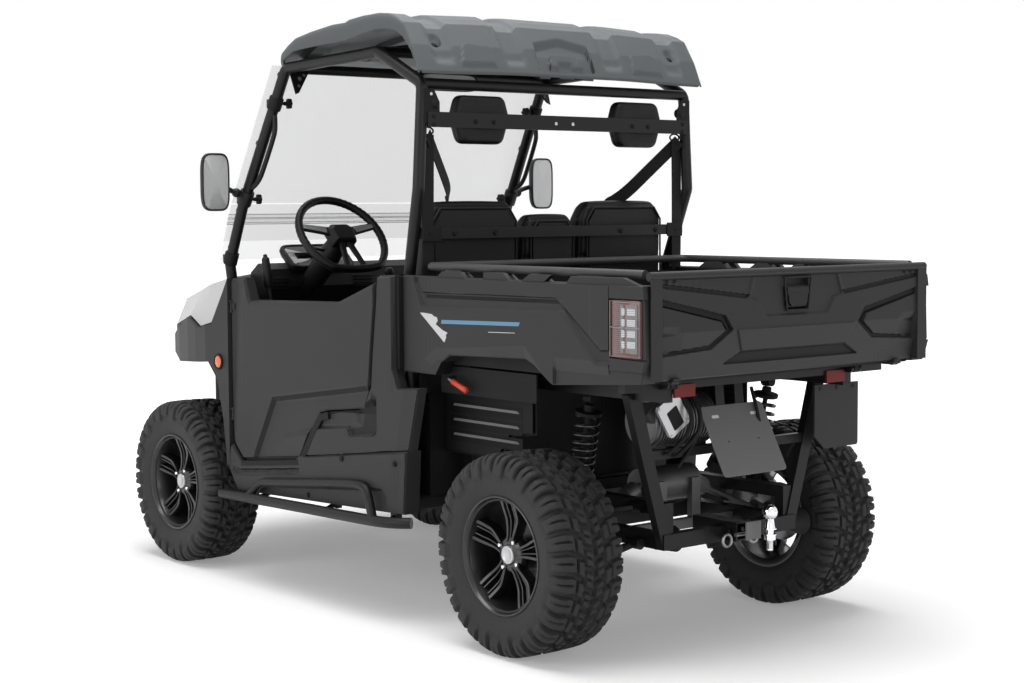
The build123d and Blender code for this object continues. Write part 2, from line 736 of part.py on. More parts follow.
def inset_profile(outline, side, x_in, x_out, rim, mode=Mode.ADD):
    """An outline of (y, z) points drawn in by rim and pushed out sideways from x_in to x_out."""
    with BuildSketch(Plane.YZ.offset(side * x_in)) as pocket:
        with BuildLine():
            Polyline(*outline, close=True)
        make_face()
        offset(amount=-rim, kind=Kind.INTERSECTION, mode=Mode.REPLACE)
    extrude(pocket.sketch, amount=side * (x_out - x_in), mode=mode)


def tray(outline, side, x_in, x_out, wall, rim):
    """A moulded panel: a skin on the outside with a rim turned inwards all round."""
    side_profile(outline, side, x_in, x_out)
    inset_profile(outline, side, x_in, x_out - wall, rim, mode=Mode.SUBTRACT)


def plan_band(plan, side, inner, outer, mode):
    """The strip between two sideways shifts of a line of (y, x) points, through the body's height."""
    edge = [(side * (x + inner), y) for y, x in plan]
    far = [(side * (x + outer), y) for y, x in reversed(plan)]
    with BuildSketch(Plane.XY.offset(sketch_low_z)) as strip:
        with BuildLine():
            Polyline(*edge, *far, close=True)
        make_face()
    extrude(strip.sketch, amount=sketch_high_z - sketch_low_z, mode=mode)


sketch_low_z = 400
sketch_high_z = 1250
hinge_x = 698
hinge_y = -713
hinge_radius = 7
hinge_pin_radius = 4
hinge_heights = (640, 1060)
with BuildPart() as front_fenders:
    for side in sides:
        side_profile(fender_outline, side, fender_inner_x - fender_depth, fender_outer_x)
        with BuildPart(mode=Mode.SUBTRACT):
            inset_profile(fender_outline, side, fender_inner_x - fender_depth - 1, fender_outer_x + 1, skin)
            plan_band(fender_plan, side, -skin, 2 * fender_depth, Mode.SUBTRACT)
        plan_band(fender_plan, side, 0, 2 * fender_depth, Mode.SUBTRACT)
        plan_band(fender_plan, side, -4 * fender_depth, -fender_depth, Mode.SUBTRACT)
        pillar = [(side * x, y, z) for x, y, z in cage_path[1:6]]
        bent_tube(pillar, cage_tube_radius + joint_gap, cage_bend_radius, mode=Mode.SUBTRACT)
        for z in hinge_heights:
            for low, high in ((z - 24, z - 14), (z + 14, z + 24)):
                rod((side * hinge_x, hinge_y, low), (side * hinge_x, hinge_y, high), hinge_radius - 1)
                block((side * (hinge_x - 5), side * (hinge_x + 5)), (fender_rear_y - 2, hinge_y),
                      (low, high))
            rod((side * hinge_x, hinge_y, z - 24), (side * hinge_x, hinge_y, z + 24), hinge_pin_radius)
save("front_fenders", front_fenders.part)

marker_y = -809
marker_z = 840
with BuildPart() as side_markers:
    for side in sides:
        low, high = sorted((side * fender_outer_x, side * (fender_outer_x + 4)))
        disc_x((marker_y, marker_z), 27, low, high)
save("side_markers", side_markers.part)

fascia_y = (frame_front_y - 50, frame_front_y)
fascia_half = 290
fascia_z = (520, 735)
lamp_shelf_half = 460
lamp_shelf_z = (786, 800)
slat_pitch = 28
with BuildPart() as front_fascia:
    block((-fascia_half, fascia_half), fascia_y, fascia_z)
    block((-fascia_half, fascia_half), (fascia_y[0] + 16, fascia_y[1]), (fascia_z[1], lamp_shelf_z[1]))
    block((-lamp_shelf_half, lamp_shelf_half), (fascia_y[0] + 12, fascia_y[1]), lamp_shelf_z)
    block((12 - fascia_half, fascia_half - 12), (fascia_y[0] + 12, fascia_y[1] + 1), (532, 700),
          mode=Mode.SUBTRACT)
    for step in range(6):
        z = 548 + slat_pitch * step
        block((40 - fascia_half, fascia_half - 40), (fascia_y[0] - 1, fascia_y[0] + 14),
              (z, z + slat_pitch / 2), mode=Mode.SUBTRACT)
save("front_fascia", front_fascia.part)

headlight_x = (310, 436)
headlight_height = 50
with BuildPart() as headlights:
    for side in sides:
        block((side * headlight_x[0], side * headlight_x[1]), (fascia_y[0] + 12, fascia_y[1] + 30),
              (lamp_shelf_z[1], lamp_shelf_z[1] + headlight_height))
save("headlights", headlights.part)

guard_radius = 19
guard_half = 262
guard_y = front_end_y + guard_radius
with BuildPart() as front_bumper_guard:
    bent_tube([(-guard_half, frame_front_y, 430), (-guard_half, guard_y, 430), (-guard_half, guard_y, 760),
               (guard_half, guard_y, 760), (guard_half, guard_y, 430), (guard_half, frame_front_y, 430)],
              guard_radius, 45)
    rod((-guard_half, guard_y, 560), (guard_half, guard_y, 560), 15)
save("front_bumper_guard", front_bumper_guard.part)

# ---------------------------------------------------------------- cab
toe_y = hood_rear_y + 8
toe_half = 340
dash_half = 548
dash_outline = ((toe_y, 1184), (-760, 1222), (-700, 1200), (-680, 1130), (-700, 1060), (-760, 980),
                (toe_y, 980))
column_angle = math.radians(40)
wheel_centre = Vector(370, -430, 1330)
wheel_axis = Vector(0, math.cos(column_angle), math.sin(column_angle))
wheel_ring_radius = 182
wheel_ring_tube = 14
column_radius = 26
shaft_radius = 12
column_start = wheel_centre - wheel_axis * 66
column_end = wheel_centre - wheel_axis * 350
with BuildPart() as dashboard:
    side_profile(dash_outline, 1, -dash_half, dash_half)
    block((-dash_half + skin, dash_half - skin), (toe_y + skin, -764), (979, 1176), mode=Mode.SUBTRACT)
    block((200, 400), (-760, -700), (1190, 1262))
    block((208, 392), (-712, -699), (1204, 1252), mode=Mode.SUBTRACT)
    rod(tuple(column_start), tuple(column_end), column_radius, mode=Mode.SUBTRACT)
save("dashboard", dashboard.part)

with steering_housings:
    rod(tuple(column_start), tuple(column_end), column_radius)
    rod(tuple(column_start + wheel_axis), tuple(column_end), shaft_radius + running_gap, mode=Mode.SUBTRACT)
save("steering_housings", steering_housings.part)

with BuildPart() as steering_wheel:
    hub_plane = Plane(origin=tuple(wheel_centre), x_dir=(1, 0, 0), z_dir=tuple(wheel_axis))
    with BuildSketch(hub_plane.offset(-24)) as hub_face:
        RegularPolygon(44, 6)
    extrude(hub_face.sketch, amount=30)
    for angle in (0, 180, 270):
        turn = math.radians(angle)
        reach = hub_plane.x_dir * math.cos(turn) + hub_plane.y_dir * math.sin(turn)
        start = wheel_centre - wheel_axis * 12
        end = wheel_centre + reach * (wheel_ring_radius - 6)
        rod(tuple(start), tuple(end), 9)
    rod(tuple(wheel_centre - wheel_axis * 10), tuple(wheel_centre - wheel_axis * 180), shaft_radius)
    seam = (hub_plane.x_dir + hub_plane.y_dir).normalized()
    ring_plane = Plane(origin=tuple(wheel_centre), x_dir=tuple(seam), z_dir=tuple(seam.cross(wheel_axis)))
    with BuildSketch(ring_plane):
        with Locations((wheel_ring_radius, 0)):
            Circle(wheel_ring_tube)
    revolve(axis=Axis(tuple(wheel_centre), tuple(wheel_axis)))
save("steering_wheel", steering_wheel.part)

floor_top_z = floor_z + floor_thickness
cab_front_y = -728
with BuildPart() as floor_pan:
    block((-side_bar_outer_x, side_bar_outer_x), (cab_front_y, floor_rear_y), (floor_z, floor_top_z))
    block((-toe_half, toe_half), (hood_rear_y, cab_front_y), (floor_z, floor_top_z))
    block((-toe_half, toe_half), (hood_rear_y, toe_y), (floor_top_z, 1150))
    for side in sides:
        block((side * (toe_half - 8), side * toe_half), (toe_y, cab_front_y), (floor_top_z, 980))
        block((side * (toe_half - 8), side * (fender_inner_x - 4)), (cab_front_y, cab_front_y + 8),
              (floor_top_z, 620))
save("floor_pan", floor_pan.part)

seat_base_x = 572
with BuildPart() as seat_base:
    block((-seat_base_x, seat_base_x), (-120, 388), (floor_top_z, 760))
    block((-seat_base_x + 8, seat_base_x - 8), (-112, 380), (floor_top_z - 1, 752), mode=Mode.SUBTRACT)
    block((-570, 570), (392, 398), (floor_top_z, 1195))
    block((-560, 560), (388, 392), (floor_top_z, 600))
save("seat_base", seat_base.part)

# columns: name, x of one edge, x of the other edge, top of the back
seats = (
    ("left", 142, 572, 1458),
    ("middle", -128, 128, 1410),
    ("right", -572, -142, 1458),
)
with BuildPart() as seat_cushions:
    for _, x_low, x_high, _ in seats:
        block((x_low, x_high), (-135, 332), (760, 876))
    fillet(seat_cushions.part.edges().filter_by(Axis.Z), 40)
    fillet(seat_cushions.part.faces().filter_by(Axis.Z).group_by(Axis.Z)[-1].edges(), 30)
save("seat_cushions", seat_cushions.part)

with BuildPart() as seat_backs:
    for _, x_low, x_high, back_top_z in seats:
        outline = ((238, 876), (332, 876), (391, back_top_z - 22), (378, back_top_z), (330, back_top_z),
                   (306, back_top_z - 30))
        side_profile(outline, 1, x_low + 6, x_high - 6)
save("seat_backs", seat_backs.part)

# ---------------------------------------------------------------- doors and cab sides
door_outer_x = 690
door_inner_x = 655
door_skin = 14
door_gap = 8
recess = 7
door_front_y = -716
door_outline = (
    (door_front_y, 692), (door_front_y, 1169), (-618, 1176), (-577, 1089), (20, 1104), (257, 1183),
    (257, 1120), (229, 909), (221, 820), (176, 735), (-54, 709), (-106, 697), (-168, 625), (-246, 517),
    (-633, 472), (-706, 536),
)
door_recess_outline = ((-560, 500), (-436, 707), (-393, 733), (180, 800), (205, 1060), (20, 1064),
                       (-540, 1050), (-600, 520))
side_panel_outline = (
    (362, 1210), (272, 1207), (266, 1119), (238, 908), (230, 817), (181, 727), (-53, 701), (-102, 689),
    (-161, 620), (-229, 528), (-174, 528), (442, 608), (500, 829), (388, 821), (362, 882),
)
hand_recess_outline = ((110, 712), (200, 722), (206, 648), (62, 630), (35, 656), (-92, 640), (-56, 688))
sill_outline = (
    (-738, 434), (-672, 344), (426, 388), (442, 608), (-174, 528), (-229, 528), (-254, 506), (-640, 461),
    (-716, 524), (-720, 434),
)
for side, label in ((1, "left"), (-1, "right")):
    with BuildPart() as door:
        tray(door_outline, side, door_inner_x, door_outer_x, door_skin, 22)
        side_profile(door_recess_outline, side, door_outer_x - recess, door_outer_x, mode=Mode.SUBTRACT)
        for z in hinge_heights:
            rod((side * hinge_x, hinge_y, z - 12), (side * hinge_x, hinge_y, z + 12), hinge_radius)
            block((side * (door_outer_x - 12), side * (hinge_x + 2)), (hinge_y, hinge_y + 22),
                  (z - 12, z + 12))
            rod((side * hinge_x, hinge_y, z - 30), (side * hinge_x, hinge_y, z + 30),
                hinge_pin_radius + running_gap, mode=Mode.SUBTRACT)
    save(f"door_{label}", door.part)

panel_outer_x = 686
with BuildPart() as side_panels:
    for side in sides:
        tray(side_panel_outline, side, door_inner_x, panel_outer_x, door_skin, 16)
        side_profile(hand_recess_outline, side, panel_outer_x - recess, panel_outer_x, mode=Mode.SUBTRACT)
save("side_panels", side_panels.part)

sill_outer_x = 700
with BuildPart() as sills:
    for side in sides:
        tray(sill_outline, side, side_bar_outer_x, sill_outer_x, skin, skin)
save("sills", sills.part)

louvre_x = 494
upper_panel_x = 588
with BuildPart() as louvre_panels:
    outline = ((402, 590), (705, 590), (770, 676), (895, 690), (895, 817), (402, 817))
    for side in sides:
        side_profile(outline, side, louvre_x, louvre_x + skin)
        block((side * louvre_x, side * upper_panel_x), (499, 895), (811, 817))
        block((side * upper_panel_x, side * (upper_panel_x + skin)), (499, 1005), (811, 904))
        block((side * rear_rail_outer_x, side * louvre_x), (600, 640), (811, 860))
        for step in range(3):
            y = 420 + 142 * step
            block((side * (louvre_x - 1), side * (louvre_x + 12)), (y, y + 118), (706, 782),
                  mode=Mode.SUBTRACT)
            for fin in range(3):
                z = 716 + 22 * fin
                block((side * louvre_x, side * (louvre_x + 10)), (y, y + 118), (z, z + 5))
save("louvre_panels", louvre_panels.part)

with BuildPart() as bed_release_lever:
    rod((upper_panel_x + skin, 571, 865), (626, 571, 865), 8)
    rod((621, 571, 865), (621, 670, 832), 9)
save("bed_release_lever", bed_release_lever.part)

step_x = 740
step_z = 345
with BuildPart() as side_steps:
    for side in sides:
        bent_tube([(side * x, y, step_z) for x, y in ((step_x, -716), (step_x, 330), (650, 492))], 17, 120)
        bent_tube([(side * x, y, z) for x, y, z in ((step_x - 4, -560, step_z), (722, -500, 430),
                  (722, 190, 430), (step_x - 4, 250, step_z))], 14, 40)
        for y in (-560, -130, 250):
            rod((side * 620, y, rail_top_z), (side * 620, y, 316), 10)
            rod((side * 610, y, 322), (side * step_x, y, 322), 10)
save("side_steps", side_steps.part)

# ---------------------------------------------------------------- cargo bed
gate_pivot_y = 1552
gate_pivot_z = 915
gate_pin_radius = 5
bed_floor_z = 912
bed_floor_thickness = 6
bed_front_y = 436
bed_side_front_y = 380
tailgate_front_y = 1547
bed_floor_rear_y = 1535
bed_top_z = 1208
bed_inner_x = 594
bed_skin_inner_x = 600
rib_x = (412, 448)
rib_bottom_z = 880
bed_side_outline = (
    (bed_side_front_y, 878), (551, 878), (585, 923), (636, 948), (1028, 961), (1077, 942), (1160, 888),
    (1559, 917), (1581, 986), (1572, bed_top_z), (bed_side_front_y, bed_top_z),
)
lower_bulge_outline = (
    (bed_side_front_y, 878), (551, 878), (585, 923), (636, 948), (1028, 961), (1077, 942), (1160, 888),
    (1559, 917), (1581, 986), (1374, 976), (1161, 1112), (bed_side_front_y, 1106),
)
upper_bulge_outline = (
    (bed_side_front_y, 1146), (1180, 1154), (1384, 1024), (1424, 1000), (1424, bed_top_z),
    (bed_side_front_y, bed_top_z),
)
lamp_y = (1424, 1573)
lamp_z = (991, 1166)
with BuildPart() as bed_tub:
    block((-bed_inner_x, bed_inner_x), (bed_front_y, bed_floor_rear_y),
          (bed_floor_z, bed_floor_z + bed_floor_thickness))
    block((-bed_inner_x, bed_inner_x), (bed_front_y - skin, bed_front_y), (bed_floor_z, 1196))
    for side in sides:
        block((side * bed_inner_x, side * bed_skin_inner_x), (bed_front_y - skin, bed_floor_rear_y),
              (bed_floor_z, 1202))
        block((side * rib_x[0], side * rib_x[1]), (470, 1380), (rib_bottom_z, bed_floor_z))
        low, high = sorted((side * (pivot_ear_x - ear_half), side * (pivot_ear_x + ear_half)))
        disc_x((pivot_y, pivot_z), ear_radius, low, high)
        block((low, high), (pivot_y - ear_radius, pivot_y + ear_radius), (pivot_z, bed_floor_z))
        disc_x((pivot_y, pivot_z), pivot_pin_radius + running_gap, low - 1, high + 1, mode=Mode.SUBTRACT)
        for x_low, x_high in ((486, 498), (532, 544)):
            low, high = sorted((side * x_low, side * x_high))
            disc_x((gate_pivot_y, gate_pivot_z), 6, low, high)
            block((low, high), (bed_floor_rear_y - 10, gate_pivot_y), (gate_pivot_z - 6, gate_pivot_z + 3))
        low, high = sorted((side * 486, side * 544))
        disc_x((gate_pivot_y, gate_pivot_z), gate_pin_radius, low, high)
save("bed_tub", bed_tub.part)

with BuildPart() as bed_sides:
    for side in sides:
        tray(bed_side_outline, side, bed_skin_inner_x, 650, skin, 8)
        side_profile(lower_bulge_outline, side, 650, 658)
        side_profile(upper_bulge_outline, side, 650, 655)
        block((side * (bed_skin_inner_x + 4), side * 670), lamp_y, lamp_z, mode=Mode.SUBTRACT)
save("bed_sides", bed_sides.part)

with BuildPart() as tail_lamps:
    for side in sides:
        block((side * (bed_skin_inner_x + 4), side * 657), lamp_y, lamp_z)
save("tail_lamps", tail_lamps.part)

bed_rail_x = 615
bed_rail_z = 1240
bed_rail_radius = 14
bed_rail_ends_y = (444, 1535)
# columns: front and rear of each rail foot
rail_feet = ((540, 695), (801, 930), (991, 1104), (1214, 1407))
with BuildPart() as bed_rails:
    front_y, rear_y = bed_rail_ends_y
    rail_path = [(-bed_rail_x, rear_y, bed_rail_z), (-bed_rail_x, front_y, bed_rail_z),
                 (bed_rail_x, front_y, bed_rail_z), (bed_rail_x, rear_y, bed_rail_z)]
    bent_tube(rail_path, bed_rail_radius, 50)
    for side in sides:
        for y_low, y_high in rail_feet:
            outline = ((y_low, bed_top_z), (y_high, bed_top_z), (y_high - 40, 1232), (y_low + 40, 1232))
            side_profile(outline, side, 602, 632)
save("bed_rails", bed_rails.part)

gate_half = 592
gate_skin_y = 1572
gate_bottom_z = 922
# columns: (x, z) corners of one raised field of the tailgate's outside, right-hand one mirrored
gate_fields = (
    ((592, 1222), (592, 1200), (268, 1163), (251, 1209), (300, 1222)),
    ((592, 1166), (303, 1109), (259, 1077), (380, 1009), (592, 996)),
    ((592, 984), (370, 992), (330, 940), (592, 940)),
)
with BuildPart() as tailgate:
    block((-gate_half, gate_half), (tailgate_front_y, gate_skin_y), (gate_bottom_z, 1228))
    block((-gate_half + 20, gate_half - 20), (tailgate_front_y + 6, gate_skin_y - 6), (921, 1200),
          mode=Mode.SUBTRACT)
    rod((-gate_half, 1560, 1236), (gate_half, 1560, 1236), 14)
    for field in gate_fields:
        for side in sides:
            rear_profile([(side * x, z) for x, z in field], gate_skin_y, gate_skin_y + 12)
    rear_profile(((-135, 1095), (135, 1095), (200, 1152), (185, 1212), (-185, 1212), (-200, 1152)),
                 gate_skin_y, rear_end_y)
    block((-66, 66), (gate_skin_y + 4, rear_end_y + 1), (1118, 1196), mode=Mode.SUBTRACT)
    for side in sides:
        low, high = sorted((side * 500, side * 530))
        disc_x((gate_pivot_y, gate_pivot_z), 9, low, high)
        block((low, high), (gate_pivot_y - 4, gate_pivot_y + 9), (gate_pivot_z, gate_bottom_z + 2))
        disc_x((gate_pivot_y, gate_pivot_z), gate_pin_radius + running_gap, low - 1, high + 1,
               mode=Mode.SUBTRACT)
save("tailgate", tailgate.part)

with BuildPart() as tailgate_handle:
    block((-56, 56), (gate_skin_y + 4, gate_skin_y + 8), (1124, 1190))
    block((-50, 50), (gate_skin_y + 8, gate_skin_y + 14), (1162, 1186))
save("tailgate_handle", tailgate_handle.part)

print(len(written), "files")
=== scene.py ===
# %% [markdown]
# # A side by side utility vehicle, dressed over its solid model
# The solid model gives every part its place and its motion. Here each part gets the finish
# of the real thing, and the parts whose looks live in small forms (tread blocks, wheel
# spokes, roof ribs, stitched seats, springs) are made again as fine surfaces.
# Everything is in metres: -Y is the front, +X is the driver's side, +Z is up.

# %% Load the solid model
import bpy
import bmesh
import math
import numpy as np
from mathutils import Matrix, Vector


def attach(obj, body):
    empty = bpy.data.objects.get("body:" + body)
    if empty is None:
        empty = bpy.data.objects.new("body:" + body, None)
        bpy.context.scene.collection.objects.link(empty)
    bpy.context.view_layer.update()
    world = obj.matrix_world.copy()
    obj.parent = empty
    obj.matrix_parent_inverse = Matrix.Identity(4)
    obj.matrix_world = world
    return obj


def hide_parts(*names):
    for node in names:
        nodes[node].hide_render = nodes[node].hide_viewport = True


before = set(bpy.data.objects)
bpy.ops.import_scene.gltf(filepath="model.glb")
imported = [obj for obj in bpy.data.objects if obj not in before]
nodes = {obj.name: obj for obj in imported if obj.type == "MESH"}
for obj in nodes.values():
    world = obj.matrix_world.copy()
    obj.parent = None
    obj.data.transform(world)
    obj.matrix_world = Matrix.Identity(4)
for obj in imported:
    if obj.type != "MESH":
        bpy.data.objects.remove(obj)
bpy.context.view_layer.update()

# %% [markdown]
# ## The camera
# The vehicle is seen from behind its left rear wheel, a little above the bed rail, with a
# long lens. A camera is three directions and a place, so the matrix is written out from
# the yaw, pitch and roll rather than found by aiming at a target.

# %% Camera
eye = Vector((4.318, 5.451, 1.450))
yaw, pitch, roll = (math.radians(a) for a in (39.478, -4.230, -0.291))
ahead = Vector((-math.sin(yaw) * math.cos(pitch), -math.cos(yaw) * math.cos(pitch), math.sin(pitch)))
level = ahead.cross(Vector((0, 0, 1))).normalized()
above = level.cross(ahead)
right = level * math.cos(roll) + above * math.sin(roll)
upward = above * math.cos(roll) - level * math.sin(roll)
lens_data = bpy.data.cameras.new("studio_camera")
lens_data.sensor_width, lens_data.lens = 36.0, 63.879
lens_data.shift_x, lens_data.shift_y = -0.00897, -0.00269
lens_data.clip_end = 200.0
camera = bpy.data.objects.new("studio_camera", lens_data)
camera.matrix_world = Matrix((
    (right.x, upward.x, -ahead.x, eye.x),
    (right.y, upward.y, -ahead.y, eye.y),
    (right.z, upward.z, -ahead.z, eye.z),
    (0, 0, 0, 1),
))
bpy.context.scene.collection.objects.link(camera)
bpy.context.scene.camera = camera
bpy.context.scene.view_settings.view_transform = "Standard"
print("camera at", tuple(round(v, 3) for v in eye))

# %% [markdown]
# ## Sums on sockets
# A material is a small program of nodes. Wrapping a socket in a class with the usual
# operators lets that program be read as sums: each operator adds one Math node, and one
# method adds any other node from its type, its settings and its sockets.

# %% The socket wrapper
class Wire:
    """One output socket of a material. Sums on it add Math nodes; node() adds any other."""

    def __init__(self, tree, out=None):
        self.tree, self.out = tree, out

    def node(self, kind, settings=None, sockets=None, take=0):
        """Adds a node, sets its settings, then fills its sockets with numbers or wires."""
        made = self.tree.nodes.new("ShaderNode" + kind)
        for name, value in (settings or {}).items():
            if name == "stops":
                for stop, (place, tone) in zip(made.color_ramp.elements, value):
                    stop.position, stop.color = place, tone
            else:
                setattr(made, name, value)
        for name, value in (sockets or {}).items():
            if isinstance(value, Wire):
                self.tree.links.new(value.out, made.inputs[name])
            else:
                made.inputs[name].default_value = value
        return Wire(self.tree, made.outputs[take])

    def sum(self, operation, first, second=0.0, third=0.0):
        """One Math node on up to three numbers or wires."""
        return self.node("Math", {"operation": operation}, {0: first, 1: second, 2: third})

    def __add__(self, other):
        return self.sum("ADD", self, other)

    def __sub__(self, other):
        return self.sum("SUBTRACT", self, other)

    def __rsub__(self, other):
        return self.sum("SUBTRACT", other, self)

    def __mul__(self, other):
        return self.sum("MULTIPLY", self, other)

    def __gt__(self, other):
        return self.sum("GREATER_THAN", self, other)

    def __lt__(self, other):
        return self.sum("LESS_THAN", self, other)

    __radd__, __rmul__ = __add__, __mul__

    def kept(self, low, high):
        """This number kept between two others."""
        return self.sum("MINIMUM", self.sum("MAXIMUM", self, low), high)

    def axis(self, index):
        """One of the three numbers of a vector."""
        return self.node("SeparateXYZ", sockets={0: self}, take=index)

    def blend(self, tone_0, tone_1):
        """A colour between two, this wire being the share of the second."""
        return self.node("Mix", {"data_type": "RGBA"}, {0: self, 6: tone_0, 7: tone_1}, 2)

    def noise(self, scale, detail=2.0):
        """Cloudy values from 0 to 1 at this many blotches a metre."""
        return self.node("TexNoise", None, {"Vector": self, "Scale": scale, "Detail": detail})


def new_material(name):
    """A material with its Principled shader and a wire that carries places on the object."""
    made = bpy.data.materials.new(name)
    made.use_nodes = True
    tree = made.node_tree
    shader = next(n for n in tree.nodes if n.type == "BSDF_PRINCIPLED")
    place = Wire(tree).node("TexCoord", take=3)
    return made, shader, place


def feed(shader, socket, wire):
    """Joins a wire to a shader's socket."""
    shader.id_data.links.new(wire.out, shader.inputs[socket])


print("socket wrapper ready")

# %% [markdown]
# ## Finishes
# The vehicle is moulded plastic, powder-coated tube, rubber, vinyl and a little bright
# metal. Most of these differ by a handful of numbers: tone, gloss, how far both wander,
# and the size and depth of a fine grain. One recipe with a table of those numbers keeps
# them related, and clear, lit and woven finishes get recipes of their own.

# %% A recipe for plain surfaces, and its table
def painted_facing_shade(tree):
    """Share of the plain tone kept by a grey plastic skin, from the way each face turns: painted shade and painted
    light.

    Broad faces keep all of it. Narrow steep walls, whose normal is far from every axis and points
    no more than a little upward, are painted up to four fifths darker as painted shade. Faces that
    turn towards the floor are painted paler, as painted light from the floor.
    """
    still_flat, steep_gain, most_painted_shade = 0.93, 11.0, 0.80
    painted_light_gain, most_painted_light = 3.4, 0.75
    facing = Wire(tree).node("TexCoord", take=1)
    parts = [facing.axis(index) for index in range(3)]
    flat = parts[0].sum("ABSOLUTE", parts[0])
    for part in parts[1:]:
        flat = flat.sum("MAXIMUM", flat, part.sum("ABSOLUTE", part))
    # steep walls that do not face up: painted shade
    steep = ((still_flat - flat) * steep_gain).kept(0.0, most_painted_shade) * (parts[2] < 0.25)
    # faces turned down: painted light from the floor
    below = (parts[2] * -painted_light_gain).kept(0.0, most_painted_light) * (steep < 0.05)
    return (1.0 - steep) + below


def surface(name, tone, gloss, metal, coat, cloud, wander, grain, depth):
    """Cloudy tone and roughness at one scale, plus a grain in the bump at a finer scale."""
    cloud_gloss, grain_gloss, brightest = 0.12, 0.10, 1.5
    made, shader, place = new_material(name)
    cloudy = place.noise(cloud, 3.0)
    fine = place.noise(grain, 2.0)
    darker = (*(c * (1 - wander) for c in tone), 1)
    lighter = (*(min(1.0, c * (1 + wander)) for c in tone), 1)
    # on the grey body and roof plastics the cloudy tone is multiplied by painted shade and painted light from the way
    # each face turns
    if name in ("body_grey_plastic", "roof_grey_plastic"):
        cloudy_tone_with_painted_shade = (cloudy * 2 * wander + (1 - wander)) * painted_facing_shade(place.tree) * (1 / brightest)
        feed(shader, "Base Color", cloudy_tone_with_painted_shade.blend((0, 0, 0, 1), (*(c * brightest for c in tone), 1)))
    else:
        feed(shader, "Base Color", cloudy.blend(darker, lighter))
    feed(shader, "Roughness", gloss + (cloudy - 0.5) * cloud_gloss + (fine - 0.5) * grain_gloss)
    feed(shader, "Normal", place.node("Bump", None, {"Strength": 0.6, "Distance": depth, "Height": fine}))
    shader.inputs["Metallic"].default_value = metal
    shader.inputs["Coat Weight"].default_value = coat
    shader.inputs["Coat Roughness"].default_value = 0.08
    shader.inputs["Specular IOR Level"].default_value = 0.5 if metal or coat else 0.22
    return made


# name, tone, gloss (roughness), metal, coat, cloud scale, wander, grain scale, grain depth
finish_table = (
    ("tyre_rubber", (0.029, 0.028, 0.028), 0.62, 0.0, 0.0, 9.0, 0.16, 420.0, 0.0012),
    ("wheel_paint", (0.008, 0.008, 0.0085), 0.30, 0.0, 0.2, 6.0, 0.10, 300.0, 0.0002),
    ("frame_paint", (0.0085, 0.0085, 0.009), 0.40, 0.0, 0.0, 7.0, 0.14, 520.0, 0.0005),
    ("dull_black", (0.0035, 0.0035, 0.0038), 0.65, 0.0, 0.0, 7.0, 0.14, 520.0, 0.0005),
    ("turned_steel", (0.30, 0.30, 0.31), 0.34, 1.0, 0.0, 12.0, 0.15, 380.0, 0.0002),
    ("cast_metal", (0.14, 0.14, 0.145), 0.46, 0.8, 0.0, 16.0, 0.18, 260.0, 0.0008),
    ("body_grey_plastic", (0.0225, 0.0225, 0.0240), 0.50, 0.0, 0.0, 4.0, 0.06, 900.0, 0.0006),
    ("roof_grey_plastic", (0.080, 0.088, 0.091), 0.52, 0.0, 0.0, 4.0, 0.06, 900.0, 0.0006),
    ("white_gloss_plastic", (0.47, 0.47, 0.47), 0.22, 0.0, 0.5, 3.0, 0.02, 200.0, 0.0001),
    ("black_plastic", (0.009, 0.009, 0.0095), 0.46, 0.0, 0.0, 5.0, 0.12, 800.0, 0.0006),
    ("seat_vinyl", (0.0032, 0.0032, 0.0036), 0.44, 0.0, 0.0, 5.0, 0.12, 340.0, 0.0010),
    ("flap_rubber", (0.034, 0.034, 0.0345), 0.58, 0.0, 0.0, 6.0, 0.12, 500.0, 0.0006),
    ("bright_chrome", (0.82, 0.82, 0.84), 0.07, 1.0, 0.0, 14.0, 0.05, 300.0, 0.0001),
    ("bracket_paint", (0.19, 0.19, 0.193), 0.48, 0.0, 0.0, 5.0, 0.05, 700.0, 0.0004),
    ("orange_lens", (0.75, 0.14, 0.01), 0.25, 0.0, 0.5, 9.0, 0.08, 160.0, 0.0004),
    ("red_lens", (0.15, 0.010, 0.009), 0.35, 0.0, 0.0, 9.0, 0.15, 160.0, 0.0004),
    ("red_grip", (0.62, 0.05, 0.02), 0.40, 0.0, 0.2, 9.0, 0.08, 300.0, 0.0004),
    ("lamp_bead", (0.22, 0.19, 0.19), 0.30, 0.2, 0.4, 9.0, 0.10, 300.0, 0.0001),
    ("spring_steel", (0.055, 0.055, 0.057), 0.32, 0.9, 0.2, 9.0, 0.10, 300.0, 0.0001),
    ("silver_paint", (0.52, 0.52, 0.53), 0.30, 0.6, 0.2, 9.0, 0.05, 900.0, 0.0001),
    ("clear_hole", (0.78, 0.78, 0.78), 0.60, 0.0, 0.0, 9.0, 0.03, 300.0, 0.0001),
    ("screen_glass", (0.035, 0.036, 0.038), 0.12, 0.0, 0.4, 3.0, 0.10, 60.0, 0.0001),
    ("smoked_lens", (0.15, 0.145, 0.145), 0.14, 0.0, 0.6, 9.0, 0.20, 120.0, 0.0004),
    ("blue_paint", (0.075, 0.22, 0.36), 0.35, 0.0, 0.3, 6.0, 0.10, 300.0, 0.0001),
    ("rail_paint", (0.052, 0.052, 0.053), 0.42, 0.0, 0.0, 7.0, 0.10, 520.0, 0.0004),
    # edge_plastic is a dark grey plastic for the louvre covers and for the plates of painted shade in recesses
    ("edge_plastic", (0.0065, 0.0065, 0.0068), 0.60, 0.0, 0.0, 4.0, 0.08, 900.0, 0.0005),
    ("webbing", (0.007, 0.007, 0.0075), 0.70, 0.0, 0.0, 9.0, 0.20, 900.0, 0.0010),
)
finishes = {row[0]: surface(*row) for row in finish_table}
print("plain finishes:", len(finishes))
